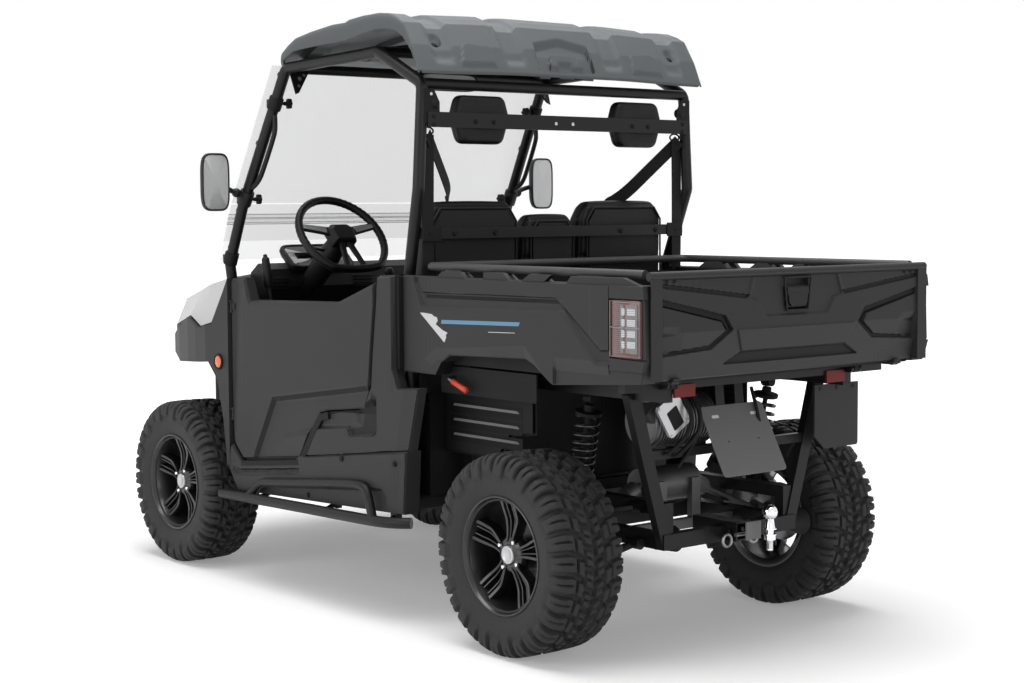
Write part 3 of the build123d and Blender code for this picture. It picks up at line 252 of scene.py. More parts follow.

# %% [markdown]
# Clear plastic and mirror glass are simple shaders with little on them: the screen lets
# most light through and carries a faint grey tint, the mirrors carry a soft, even grey that is
# partly a blurred reflection and partly a painted reflection, and the lamp lenses have fine ribs
# moulded on their inside, drawn as darker and lighter bands across them: painted shade and
# painted light of the ribs, with a bump.

# %% Clear, mirror and lamp finishes
def clear_sheet(name, tint, alpha):
    """A thin polished plastic sheet: faint cloudy haze in its clearness."""
    made, shader, place = new_material(name)
    haze = place.noise(3.0, 2.0)
    feed(shader, "Alpha", (haze - 0.5) * 0.02 + alpha)
    feed(shader, "Roughness", haze * 0.05 + 0.03)
    shader.inputs["Base Color"].default_value = (*tint, 1)
    return made


def ribbed_lens(name, tone, across, pitch, gloss):
    """A glossy lens with ribs: a wave along one axis drives both tone and bump; its darker and lighter bands are
    painted shade and painted light of the ribs.
    """
    made, shader, place = new_material(name)
    phase = place.axis(across) * (2 * math.pi / pitch)
    ribs = phase.sum("SINE", phase) * 0.5 + 0.5
    feed(shader, "Base Color", ribs.blend((*(c * 0.55 for c in tone), 1), (*tone, 1)))
    feed(shader, "Roughness", ribs * 0.1 + gloss)
    feed(shader, "Normal", place.node("Bump", None, {"Strength": 0.7, "Distance": 0.0015, "Height": ribs}))
    shader.inputs["Coat Weight"].default_value = 0.8
    return made


def mirror_face(name):
    """Silvered glass with a soft, even grey, a little uneven: partly a blurred reflection, partly a painted reflection.
    """
    made, shader, place = new_material(name)
    swell = place.noise(6.0, 1.0)
    feed(shader, "Roughness", swell * 0.06 + 0.42)
    feed(shader, "Base Color", swell.blend((0.50, 0.505, 0.51, 1), (0.55, 0.555, 0.56, 1)))
    shader.inputs["Metallic"].default_value = 0.45
    return made


finishes["clear_screen"] = clear_sheet("clear_screen", (0.50, 0.52, 0.53), 0.17)
finishes["red_lamp"] = ribbed_lens("red_lamp", (0.115, 0.012, 0.010), 2, 0.006, 0.15)
finishes["white_lamp"] = ribbed_lens("white_lamp", (0.62, 0.64, 0.66), 2, 0.006, 0.12)
finishes["mirror_face"] = mirror_face("mirror_face")

# %% [markdown]
# ## Dressing the solid nodes
# Every node of the solid model that stays in view takes one of these finishes. The ones
# that a finer surface stands for later are hidden at that point, but they are dressed
# here too, so nothing is ever left bare.

# %% One finish for each node
node_finishes = {
    "frame_paint": "frame_rails roll_cage suspension_arms shock_absorbers steering_housings "
                   "hitch_receiver front_bumper_guard side_steps",
    "rail_paint": "bed_rails",
    "cast_metal": "axle_drives drive_motor",
    "turned_steel": "rear_knuckles knuckle_front_left knuckle_front_right steering_rack",
    "red_lens": "rear_reflectors",
    "flap_rubber": "mud_flaps",
    "bracket_paint": "plate_bracket",
    "bright_chrome": "hitch_ball",
    "dull_black": "battery_pack louvre_panels floor_pan bed_tub",
    "seat_vinyl": "headrests seat_cushions seat_backs",
    "roof_grey_plastic": "roof_panel",
    "clear_screen": "windshield",
    "black_plastic": "windshield_band mirrors front_fascia dashboard seat_base steering_wheel tailgate_handle",
    "mirror_face": "mirror_glasses",
    "white_gloss_plastic": "hood",
    "body_grey_plastic": "front_fenders side_panels sills door_left door_right bed_sides tailgate",
    "orange_lens": "side_markers",
    "white_lamp": "headlights",
    "red_grip": "bed_release_lever",
    "red_lamp": "tail_lamps",
    "tyre_rubber": "tyre_front_left tyre_front_right tyre_rear_left tyre_rear_right",
    "wheel_paint": "rim_front_left rim_front_right rim_rear_left rim_rear_right",
}
dressed = set()
for finish, names in node_finishes.items():
    for name in names.split():
        nodes[name].data.materials.clear()
        nodes[name].data.materials.append(finishes[finish])
        dressed.add(name)
print("dressed nodes:", len(dressed), "left bare:", sorted(set(nodes) - dressed))

# %% [markdown]
# ## The studio
# A plain pale floor under soft light from large panels. The floor keeps the shadow near
# the vehicle and glows more with distance, so it runs into a white background: the camera,
# a mirror and the clear screen all find white past the vehicle.

# %% Floor, sky and lamps
def white_where_seen(tree):
    """1 for rays from the camera, off glossy things or through clear ones, else 0."""
    rays = Wire(tree).node("LightPath")
    glossy = Wire(tree, rays.out.node.outputs["Is Glossy Ray"])
    through = Wire(tree, rays.out.node.outputs["Is Transmission Ray"])
    return rays.sum("MAXIMUM", rays, rays.sum("MAXIMUM", glossy, through))


floor_paint = bpy.data.materials.new("studio_floor")
floor_paint.use_nodes = True
floor_tree = floor_paint.node_tree
floor_shader = next(n for n in floor_tree.nodes if n.type == "BSDF_PRINCIPLED")
floor_shader.inputs["Base Color"].default_value = (0.88, 0.88, 0.88, 1)
floor_shader.inputs["Roughness"].default_value = 0.9
floor_place = Wire(floor_tree).node("TexCoord", take=3)
glow_start, glow_run, unseen_share = 2.2, 4.5, 0.22
from_middle = floor_place.node("VectorMath", {"operation": "LENGTH"}, {0: floor_place}, 1)
far_off = ((from_middle - glow_start) * (1 / glow_run)).kept(0.0, 1.0)
feed(floor_shader, "Emission Color", far_off.blend((0.24, 0.24, 0.24, 1), (0.95, 0.95, 0.95, 1)))
feed(floor_shader, "Emission Strength", white_where_seen(floor_tree) * (1 - unseen_share) + unseen_share)
far = 60.0
floor_mesh = bpy.data.meshes.new("studio_floor")
floor_mesh.from_pydata([(-far, -far, 0), (far, -far, 0), (far, far, 0), (-far, far, 0)], [], [(0, 1, 2, 3)])
floor_mesh.materials.append(floor_paint)
floor = bpy.data.objects.new("studio_floor", floor_mesh)
bpy.context.scene.collection.objects.link(floor)

sky = bpy.data.worlds.new("studio_sky")
sky.use_nodes = True
sky_tree = sky.node_tree
backdrop = next(n for n in sky_tree.nodes if n.type == "BACKGROUND")
backdrop.inputs["Color"].default_value = (1, 1, 1, 1)
sky_level = 0.26
feed(backdrop, "Strength", white_where_seen(sky_tree) * (1 - sky_level) + sky_level)
bpy.context.scene.world = sky

# place, aim, size, watts
lamps = (
    ((0.3, 0.2, 5.4), (0, 0, 1), 5.0, 380),
    ((7.0, -0.8, 2.6), (0, 0, 0.9), 4.0, 135),
    ((1.5, 7.5, 2.4), (0, 0.5, 0.9), 3.0, 56),
)
for number, (place, aim, size, watts) in enumerate(lamps):
    panel = bpy.data.lights.new(f"panel_{number}", "AREA")
    panel.size, panel.energy = size, watts
    lamp = bpy.data.objects.new(f"panel_{number}", panel)
    lamp.location = place
    lamp.rotation_euler = (Vector(aim) - Vector(place)).to_track_quat("-Z", "Y").to_euler()
    bpy.context.scene.collection.objects.link(lamp)
print("lamps:", len(lamps))

# %% [markdown]
# ## Surfaces from arrays
# New pieces are sheets of points worked out with numpy: a grid whose rows and columns are
# two parameters, closed into a loop or capped where the real part is solid. Such a sheet
# is kept as a pair (points, faces), and pairs add up into one piece.

# %% Grids, carried profiles and turned profiles
def grid_faces(rows, columns, loop_rows=False, loop_columns=False):
    """Four-cornered faces between neighbouring points of a rows x columns grid."""
    r = np.arange(rows if loop_rows else rows - 1)[:, None]
    c = np.arange(columns if loop_columns else columns - 1)[None, :]
    r1, c1 = (r + 1) % rows, (c + 1) % columns
    corners = [r * columns + c, r * columns + c1, r1 * columns + c1, r1 * columns + c]
    return [tuple(f) for f in np.stack(corners, -1).reshape(-1, 4).tolist()]


def capped_faces(rows, columns):
    """Faces of a grid whose columns close into a ring, with its first and last row filled in."""
    ends = [tuple(range(columns)), tuple(range((rows - 1) * columns, rows * columns))]
    return grid_faces(rows, columns, False, True) + ends


def stacked(rings):
    """Rings of points of one length, joined in order and filled in at both ends."""
    return np.concatenate(rings), capped_faces(len(rings), len(rings[0]))


def closed_slab(front, back):
    """Two rows x columns point grids made one solid: both faces and the rim between them."""
    rows, columns = front.shape[:2]
    count = rows * columns
    faces = grid_faces(rows, columns)
    faces += [tuple(i + count for i in face[::-1]) for face in faces]
    rim = [r * columns for r in range(rows)]
    rim += [(rows - 1) * columns + c for c in range(1, columns)]
    rim += [r * columns + columns - 1 for r in range(rows - 2, -1, -1)]
    rim += [c for c in range(columns - 2, 0, -1)]
    faces += [(a, b, b + count, a + count) for a, b in zip(rim, rim[1:] + rim[:1])]
    return np.concatenate([front.reshape(-1, 3), back.reshape(-1, 3)]), faces


def join(*sheets):
    """Several (points, faces) pairs as one, each one's face numbers shifted past the last."""
    points, faces, base = [], [], 0
    for own_points, own_faces in sheets:
        points.append(np.asarray(own_points, float).reshape(-1, 3))
        faces += [tuple(i + base for i in face) for face in own_faces]
        base += len(points[-1])
    return np.concatenate(points), faces


def carried(profile, path, loop=False, tilt=None):
    """A closed flat profile (n x 2) carried along a path (m x 3) and capped at both ends.

    Each path point gets a frame: along is the direction between its neighbours, side is
    along x tilt, and lift is side x along. A point is path + p0 * side + p1 * lift.
    profile may also be m x n x 2, one shape for each path point.
    """
    path = np.asarray(path, float)
    steps = np.roll(path, -1, 0) - np.roll(path, 1, 0)
    if not loop:
        steps[0], steps[-1] = path[1] - path[0], path[-1] - path[-2]
    along = steps / np.linalg.norm(steps, axis=1, keepdims=True)
    if tilt is None:
        tilt = (0, 0, 1) if abs(along[:, 2]).mean() < 0.75 else (0, 1, 0)
    side = np.cross(along, np.asarray(tilt, float))
    side /= np.linalg.norm(side, axis=1, keepdims=True)
    lift = np.cross(side, along)
    shape = np.broadcast_to(profile, (len(path), *np.shape(profile)[-2:]))
    points = path[:, None] + shape[..., :1] * side[:, None] + shape[..., 1:] * lift[:, None]
    rows, columns = shape.shape[:2]
    faces = grid_faces(rows, columns, True, True) if loop else capped_faces(rows, columns)
    return points.reshape(-1, 3), faces


def circle(radius, count=16):
    """count points on a circle."""
    a = np.arange(count) * 2 * math.pi / count
    return np.stack([np.cos(a), np.sin(a)], -1) * radius


def turned(profile, centre, axis, count=32):
    """A closed profile of (distance along axis, radius) turned about the axis; radius 0 closes."""
    axis = np.asarray(axis, float) / np.linalg.norm(axis)
    helper = np.array((0.0, 0.0, 1.0)) if abs(axis[2]) < 0.9 else np.array((0.0, 1.0, 0.0))
    u = np.cross(axis, helper)
    u /= np.linalg.norm(u)
    v = np.cross(axis, u)
    profile = np.asarray(profile, float)
    a = np.arange(count)[:, None, None] * 2 * math.pi / count
    round_about = np.cos(a) * u + np.sin(a) * v
    points = np.asarray(centre, float) + profile[None, :, :1] * axis + profile[None, :, 1:] * round_about
    return points.reshape(-1, 3), grid_faces(count, len(profile), True, True)


def plate(outline, origin, across, up, depth):
    """A flat outline (n x 2, along across and up from origin) given a thickness along depth."""
    outline, across, up = (np.asarray(a, float) for a in (outline, across, up))
    front = np.asarray(origin, float) + outline[:, :1] * across + outline[:, 1:] * up
    return stacked([front, front + np.asarray(depth, float)])


def side_plate(outline, place, thick):
    """A plate that faces sideways: its outline is (y, z) from a place, or from x alone."""
    origin = place if np.ndim(place) else (place, 0, 0)
    return plate(outline, origin, (0, 1, 0), (0, 0, 1), (thick, 0, 0))


def rear_plate(outline, place, thick):
    """A plate that faces back: its outline is (x, z) from a place."""
    return plate(outline, place, (1, 0, 0), (0, 0, 1), (0, thick, 0))


def brick(low, high):
    """A plain slab between two corners, for use inside a larger piece."""
    (x0, y0, z0), (x1, y1, z1) = low, high
    ring = ((0, 0), (x1 - x0, 0), (x1 - x0, y1 - y0), (0, y1 - y0))
    return plate(ring, (x0, y0, z0), (1, 0, 0), (0, 1, 0), (0, 0, z1 - z0))


def mirrored(sheet):
    """The same sheet on the other side of the middle plane, its faces turned to match."""
    points, faces = sheet
    return points * np.array((-1.0, 1.0, 1.0)), [face[::-1] for face in faces]


def both(sheet):
    """A sheet and its mirror image together."""
    return join(sheet, mirrored(sheet))


usual_slots = {
    "dull_black": "black_plastic", "edge_plastic": "black_plastic", "frame_paint": "frame_black",
    "body_grey_plastic": "body_grey", "seat_vinyl": "seat_cover", "turned_steel": "machined_steel",
    "flap_rubber": "flap_rubber", "bright_chrome": "chrome", "mirror_face": "mirror_glass",
    "black_plastic": "black_plastic",
}


def piece(name, sheet, finish, body="chassis", slot="usual", hides=(), bevel=0.0, crease=35.0, weld=True):
    """Makes one object of a sheet: merges doubles, points faces outwards, marks sharp edges.

    It rides on a body. The material slot that usually goes with its finish, another one, or
    none, is worked out but not put on the object.
    """
    points, faces = sheet
    mesh = bpy.data.meshes.new(name)
    mesh.from_pydata(np.asarray(points).tolist(), [], faces)
    work = bmesh.new()
    work.from_mesh(mesh)
    if weld:
        bmesh.ops.remove_doubles(work, verts=work.verts, dist=1e-6)
        bmesh.ops.dissolve_degenerate(work, edges=work.edges, dist=1e-7)
    bmesh.ops.recalc_face_normals(work, faces=work.faces)
    limit = math.radians(crease)
    for face in work.faces:
        face.smooth = True
    for edge in work.edges:
        edge.smooth = len(edge.link_faces) == 2 and edge.calc_face_angle(0.0) < limit
    work.to_mesh(mesh)
    work.free()
    mesh.materials.append(finishes[finish])
    made = bpy.data.objects.new(name, mesh)
    bpy.context.scene.collection.objects.link(made)
    if bevel:
        soft = made.modifiers.new("soft_edges", "BEVEL")
        soft.width, soft.segments, soft.limit_method = bevel, 2, "ANGLE"
        soft.angle_limit = math.radians(30)
        soft.harden_normals = False
    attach(made, body)
    slot = usual_slots[finish] if slot == "usual" else slot
    if hides:
        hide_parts(*hides)
    print(name, "faces:", len(mesh.polygons))
    return made


def ramp(value, low, high):
    """0 below low, 1 above high, and a smooth slope between."""
    t = np.clip((value - low) / (high - low), 0, 1)
    return t * t * (3 - 2 * t)


def bar_mask(value, low, high, soft):
    """1 between low and high, falling to 0 over soft outside them."""
    return ramp(value, low - soft, low) * (1 - ramp(value, high, high + soft))

# %% [markdown]
# ## Tyres
# An off-road tyre is a smooth casing with blocks of rubber standing on it: long shoulder
# blocks that run down the side wall, and staggered blocks in the middle of the tread. All
# of it can be one sheet: the casing's section is carried round the axle, and each point
# is pushed outwards by a height that depends on its angle and its place on the section.

# %% Casing section and tread blocks
axle_height = tyre_radius = 0.330
tread_pitches = 30
lug_height = 0.017
tyre_samples = 18


def casing_section(half_width):
    """Points (x, r) from the inner bead up the side wall, over the tread and back down."""
    side = np.array((
        (0.80, 0.176), (0.86, 0.190), (0.885, 0.200), (0.90, 0.206), (0.93, 0.216), (0.955, 0.228),
        (0.972, 0.240), (0.978, 0.250), (0.976, 0.260), (0.968, 0.268), (0.955, 0.276), (0.938, 0.284),
        (0.915, 0.2915), (0.885, 0.2985), (0.845, 0.3045), (0.80, 0.3085), (0.75, 0.3105),
    ))
    middle = np.linspace(0.75, -0.75, 46)[1:-1]
    crown = np.stack([middle, 0.3105 + 0.0022 * (1 - (middle / 0.75) ** 2)], -1)
    ring = np.concatenate([side, crown, side[::-1] * (-1, 1)])
    ring[:, 0] *= half_width
    inside = np.array(((-0.72, 0.180), (-0.78, 0.24), (-0.66, 0.288), (0.66, 0.288), (0.78, 0.24), (0.72, 0.180)))
    return ring, inside * (half_width, 1)


def block_height(turn, across, radius, half_width):
    """How far each point stands out, from 0 to 1.

    turn counts block pitches round the wheel and across is x. Shoulder blocks are bars in
    turn, alternately long and short; the middle has two staggered rows of slanted blocks;
    narrow slots and a stepped edge are cut out of them.
    """
    a = np.abs(across) / half_width
    slant = turn + 0.5 * (across < 0) + 0.30 * ramp(a, 0.2, 0.8)
    beat = slant - np.floor(slant)
    longer = (np.floor(slant) % 2) < 0.5
    reach = np.where(longer, 0.252, 0.268)
    on_side = ramp(radius, reach, reach + 0.004)
    shoulder = bar_mask(beat, 0.16, 0.84, 0.05) * ramp(a, 0.53, 0.56) * on_side
    shoulder = shoulder * (1 - 0.45 * (1 - ramp(radius, 0.270, 0.308)))
    slot = bar_mask(beat, 0.46, 0.50, 0.04) * bar_mask(a, 0.66, 0.90, 0.03)
    shoulder = shoulder * (1 - 0.55 * slot)
    middle_beat = turn + 0.84 * a + 0.5 * (across < 0) + 0.25
    middle_beat = middle_beat - np.floor(middle_beat)
    block_1 = bar_mask(middle_beat, 0.18, 0.80, 0.06) * bar_mask(a, 0.07, 0.27, 0.025)
    other = middle_beat + 0.42
    other = other - np.floor(other)
    block_2 = bar_mask(other, 0.20, 0.82, 0.06) * bar_mask(a, 0.33, 0.49, 0.025)
    tie_bar = bar_mask(middle_beat, 0.30, 0.45, 0.05) * bar_mask(a, 0.0, 0.55, 0.02) * 0.35
    pocket = bar_mask(middle_beat, 0.44, 0.50, 0.04) * bar_mask(a, 0.12, 0.24, 0.02)
    blocks = np.maximum(np.maximum(block_1, block_2) * (1 - 0.5 * pocket), tie_bar)
    return np.maximum(shoulder, blocks)


def tyre(centre, half_width):
    """The section carried round the axle; each point moves out along the section's normal."""
    ring, inside = casing_section(half_width)
    count = tread_pitches * tyre_samples
    angle = np.arange(count)[:, None] * 2 * math.pi / count
    normal = np.gradient(ring, axis=0)[:, ::-1] * (-1, 1)
    normal = -normal / np.linalg.norm(normal, axis=1, keepdims=True)
    normal = normal * np.where((normal * (ring - (0, 0.25))).sum(1, keepdims=True) < 0, -1, 1)
    turn = angle * tread_pitches / (2 * math.pi)
    height = block_height(turn, ring[None, :, 0], ring[None, :, 1], half_width)
    rib = 0.0016 * bar_mask(ring[:, 1], 0.204, 0.207, 0.002) + 0.0014 * bar_mask(ring[:, 1], 0.244, 0.247, 0.002)
    push = height * lug_height + rib
    x = ring[:, 0] + push * normal[:, 0]
    r = np.minimum(ring[:, 1] + push * normal[:, 1], tyre_radius - 0.0004)
    back = np.broadcast_to(inside, (count, *inside.shape))
    x, r = np.concatenate([x, back[..., 0]], 1), np.concatenate([r, back[..., 1]], 1)
    points = np.stack([x + centre[0], centre[1] + r * np.sin(angle), centre[2] + r * np.cos(angle)], -1)
    return points.reshape(-1, 3), grid_faces(*x.shape, True, True)


wheel_places = (
    # name, x, y, tyre half width, hub face, rim lip face
    ("front_left", 0.640, -1.120, 0.115, 0.702, 0.744),
    ("front_right", -0.640, -1.120, 0.115, 0.702, 0.744),
    ("rear_left", 0.610, 0.980, 0.135, 0.688, 0.730),
    ("rear_right", -0.610, 0.980, 0.135, 0.688, 0.730),
)
for where, x, y, half_width, _, _ in wheel_places:
    piece(f"tread_{where}", tyre((x, y, axle_height), half_width), "tyre_rubber", f"wheel_{where}",
          "tyre", hides=(f"tyre_{where}",), crease=50.0)

# %% [markdown]
# ## Wheels
# The wheel is a cast barrel with five pairs of split spokes. The barrel is a turned
# section. One blade is a slim bar whose width, height and place are functions of the
# distance from the hub, and turning that bar makes the ten blades and their inner ridges.

# %% Barrel, blades, cap and nuts
def blade(hub_face, hand, centre, turn, shift_in, shift_out, width_in, width_out, lift, depth):
    """A bar from the hub to the rim. Its middle line bends once, halfway out.

    radius runs from 0.040 to 0.172; the side shift and width go from their inner to outer
    values, and the face sinks a little halfway and rises again at the rim.
    """
    radius = np.array((0.040, 0.060, 0.085, 0.108, 0.122, 0.145, 0.172))
    share = (radius - 0.040) / 0.132
    shift = shift_in + (shift_out - shift_in) * ramp(share, 0.05, 0.75)
    width = width_in + (width_out - width_in) * share
    face = lift - 0.010 * np.sin(share * math.pi) + 0.012 * ramp(share, 0.5, 1.0)
    section = np.array(((-0.5, 0), (-0.5, 0.8), (-0.34, 1.0), (0.34, 1.0), (0.5, 0.8), (0.5, 0)))
    side = shift[:, None] + section[None, :, 0] * width[:, None]
    out = face[:, None] - depth * (1 - section[None, :, 1])
    c, s = math.cos(turn), math.sin(turn)
    y = radius[:, None] * s + side * c
    z = radius[:, None] * c - side * s
    return stacked(np.stack([hand * (hub_face + out), centre[1] + y, centre[2] + z], -1))


def wheel(where, x, y, hub_face, lip_face):
    """Barrel, ten blades with ten inner ridges, hub, brake disc, cap and nuts of one wheel."""
    hand = 1 if x > 0 else -1
    centre = np.array((0.0, y, axle_height))
    out = (hand, 0, 0)
    inner = 2 * abs(x) - lip_face
    barrel = (
        (lip_face, 0.1935), (lip_face + 0.0015, 0.1880), (lip_face - 0.004, 0.1845), (lip_face - 0.020, 0.1760),
        (lip_face - 0.050, 0.1700), (lip_face - 0.075, 0.1645), (inner + 0.01, 0.1645), (inner, 0.188),
        (inner, 0.1935), (inner + 0.010, 0.1935), (inner + 0.012, 0.178), (inner + 0.05, 0.178),
        (lip_face - 0.09, 0.170), (lip_face - 0.055, 0.178), (lip_face - 0.012, 0.180), (lip_face - 0.010, 0.1935),
    )
    sheets = [turned(barrel, centre, out, 72)]
    hub = ((hub_face - 0.045, 0.020), (hub_face - 0.045, 0.058), (hub_face - 0.018, 0.062),
           (hub_face - 0.004, 0.056), (hub_face + 0.002, 0.044), (hub_face + 0.002, 0.034),
           (hub_face + 0.006, 0.031), (hub_face + 0.006, 0.020))
    sheets.append(turned(hub, centre, out, 48))
    for spoke in range(5):
        turn = spoke * 2 * math.pi / 5 + 0.06
        for way in (-1, 1):
            sheets.append(blade(hub_face, hand, centre, turn, way * 0.013, way * 0.030, 0.010, 0.017, 0.006, 0.040))
            sheets.append(blade(hub_face, hand, centre, turn, way * 0.005, way * 0.013, 0.006, 0.008, 0.001, 0.030))
    piece(f"alloy_{where}", join(*sheets), "wheel_paint", f"wheel_{where}", "rim_black",
          hides=(f"rim_{where}",), bevel=0.0012, weld=False)
    back = hub_face - (0.105 if "rear" in where else 0.100)
    disc = ((back, 0.058), (back, 0.105), (back + 0.005, 0.105), (back + 0.005, 0.058))
    carrier = ((back - 0.006, 0.0162), (back - 0.006, 0.060), (hub_face - 0.045, 0.050), (hub_face - 0.045, 0.0162))
    piece(f"brake_{where}", join(turned(disc, centre, out, 64), turned(carrier, centre, out, 40)), "turned_steel",
          f"wheel_{where}")
    cap = ((hub_face - 0.002, 0.0), (hub_face - 0.002, 0.0300), (hub_face + 0.008, 0.0300), (hub_face + 0.0105, 0.0285),
           (hub_face + 0.0115, 0.022), (hub_face + 0.0105, 0.0205), (hub_face + 0.0108, 0.0))
    piece(f"cap_{where}", turned(cap, centre, out, 40), "silver_paint", f"wheel_{where}", "rim_black")
    nuts = []
    for quarter in range(4):
        turn = quarter * math.pi / 2 + 0.55
        spot = centre + (0, 0.050 * math.sin(turn), 0.050 * math.cos(turn))
        nut = ((hub_face - 0.016, 0.0), (hub_face - 0.016, 0.0095), (hub_face + 0.004, 0.0090),
               (hub_face + 0.010, 0.0060), (hub_face + 0.012, 0.0))
        nuts.append(turned(nut, spot, out, 12))
    piece(f"wheel_nuts_{where}", join(*nuts), "bright_chrome", f"wheel_{where}", crease=25.0)


for where, x, y, _, hub_face, lip_face in wheel_places:
    wheel(where, x, y, hub_face, lip_face)

# %% [markdown]
# ## Roof
# The roof is one moulded sheet: a wide centre panel and two panels each side stand proud
# of four channels that run front to back, the corners rise again beside the outer
# channels, and the skirt turns down outside them to a wavy lower edge. Seen from above it
# is a height over (x, y), so it is a height field with a table of heights along y, a
# profile across x, and stamped recesses taken off, closed by an offset copy underneath.

# %% Roof heights
roof_half = 0.672
# along y: half width of the skirt, its lower edge, the top of the skirt, the crown
roof_stations = np.array((
    (-0.590, 0.470, 1.982, 1.990, 1.997), (-0.560, 0.520, 1.981, 1.993, 2.003),
    (-0.500, 0.590, 1.980, 1.998, 2.012), (-0.400, 0.655, 1.984, 2.020, 2.036),
    (-0.340, 0.664, 2.003, 2.046, 2.057), (-0.290, 0.669, 2.018, 2.064, 2.076),
    (-0.180, 0.671, 2.024, 2.080, 2.092), (-0.040, 0.672, 2.029, 2.094, 2.106),
    (0.040, 0.672, 2.031, 2.095, 2.107), (0.066, 0.672, 2.034, 2.103, 2.113),
    (0.150, 0.672, 2.047, 2.110, 2.120), (0.250, 0.672, 2.058, 2.112, 2.122),
    (0.310, 0.672, 2.055, 2.106, 2.117), (0.360, 0.672, 2.043, 2.090, 2.100),
    (0.400, 0.672, 2.020, 2.070, 2.079), (0.448, 0.672, 1.969, 1.992, 2.000),
    (0.488, 0.672, 1.890, 1.897, 1.905),
))


def along_roof(y, column):
    """One column of the table at a place along y."""
    return np.interp(y, roof_stations[:, 0], roof_stations[:, column])


def stamped(x, y, corners, soft):
    """How far inside a convex outline, its corners taken anticlockwise, as 0 to 1 over soft metres."""
    inside = np.full(np.shape(x), 1e9)
    corners = np.asarray(corners, float)
    for (x0, y0), (x1, y1) in zip(corners, np.roll(corners, -1, 0)):
        length = math.hypot(x1 - x0, y1 - y0)
        inside = np.minimum(inside, ((x1 - x0) * (y - y0) - (y1 - y0) * (x - x0)) / length)
    return ramp(inside, 0.0, soft)


chevron = ((-0.125, 0.433), (0.0, 0.419), (0.125, 0.433), (0.135, 0.480), (-0.135, 0.480))
chevron_island = ((-0.066, 0.450), (0.066, 0.450), (0.078, 0.482), (-0.078, 0.482))
island_dip = ((-0.032, 0.461), (0.032, 0.461), (0.040, 0.482), (-0.040, 0.482))
side_wedge = ((0.335, 0.448), (0.455, 0.446), (0.480, 0.480), (0.320, 0.480))


def roof_height(share, y):
    """Height of the outside: the crown, less the channels, the stamped marks and the drop.

    share is x over the half width of the skirt at that y. Channels are trapezoid dips that
    fade out at both ends. Marks are convex outlines in plan, made deeper where the sheet
    falls steeply so that they keep their depth square to it.
    """
    half, lip, top, crown = (along_roof(y, column) for column in (1, 2, 3, 4))
    x = share * half
    a = np.abs(share)
    x_place = a * roof_half
    base = crown - (crown - top) * ramp(a, 0.30, 0.97)
    fade = ramp(y, -0.50, -0.40) * (1 - ramp(y, 0.455, 0.480))
    inner = bar_mask(x_place, 0.200, 0.262, 0.028)
    outer = bar_mask(x_place, 0.515, 0.572, 0.028)
    dip = 0.021 * inner + 0.019 * outer
    lines = 0.0030 * bar_mask(a, 0.440, 0.448, 0.006)
    height = base - fade * (dip + lines)
    steep = 1 + 1.6 * ramp(y, 0.37, 0.44)
    marks = 0.011 * stamped(x, y, chevron, 0.0035) - 0.008 * stamped(x, y, chevron_island, 0.003)
    marks = marks + 0.007 * stamped(x, y, island_dip, 0.003) - 0.005 * stamped(np.abs(x), y, side_wedge, 0.004)
    pockets = 0.008 * (1 - ramp(np.hypot(np.abs(x) - 0.557, (y - 0.4255) * 1.7), 0.020, 0.026))
    return height - steep * (marks + pockets), half, lip


def roof_sheet():
    """Rows along y, columns from skirt edge to skirt edge, then the underside 9 mm below."""
    y = np.concatenate([np.linspace(-0.588, 0.330, 92), np.linspace(0.334, 0.486, 112)])
    share = np.concatenate([np.linspace(0.0, 0.93, 94), np.linspace(0.94, 0.985, 6)])
    share = np.concatenate([-share[:0:-1], share])
    yy, ss = np.meshgrid(y, share, indexing="ij")
    height, half, _ = roof_height(ss, yy)
    upper = np.stack([ss * half, yy, height], -1)
    edge_height, edge_half, edge_lip = roof_height(np.full(len(y), 0.985), y)
    skirt = [np.stack([edge_half * out, y, edge_height + (edge_lip - edge_height) * drop], -1)
             for drop, out in ((0.10, 0.993), (0.30, 0.998), (0.60, 1.0), (1.0, 1.0))]
    right_side = np.stack(skirt, 1)
    outside = np.concatenate([right_side[:, ::-1] * (-1, 1, 1), upper, right_side], 1)
    inward = outside.copy()
    inward[..., 0] *= 1 - 0.009 / np.maximum(np.abs(outside[:, -1:, 0]), 0.1)
    inward[:, 4:-4, 2] -= 0.009
    return closed_slab(outside, inward)


def roof_bolts():
    """Domed bolts with washers in the round pockets near the rear edge, square to its slope."""
    x, y = 0.557, 0.4255
    z = float(roof_height(np.array(x / roof_half), np.array(y))[0])
    dome = ((-0.006, 0), (-0.006, 0.014), (0.0015, 0.014), (0.002, 0.010), (0.006, 0.008), (0.0085, 0.004), (0.009, 0))
    return both(turned(dome, (x, y, z), (0, 0.85, 0.53), 20))


piece("roof_shell", roof_sheet(), "roof_grey_plastic", slot="roof_grey", hides=("roof_panel",), crease=40)
piece("roof_bolts", roof_bolts(), "dull_black")

# %% [markdown]
# ## Seats
# The bench has three cushions and three backs in black vinyl over foam. Each is a padded
# form: a block whose faces swell between tightly sewn edges, with sewn channels across it
# and a piped seam round the top of each cushion. The same rounded-block surface serves for
# all of them: a box mesh whose points are pushed out by a swell that is greatest mid-panel.

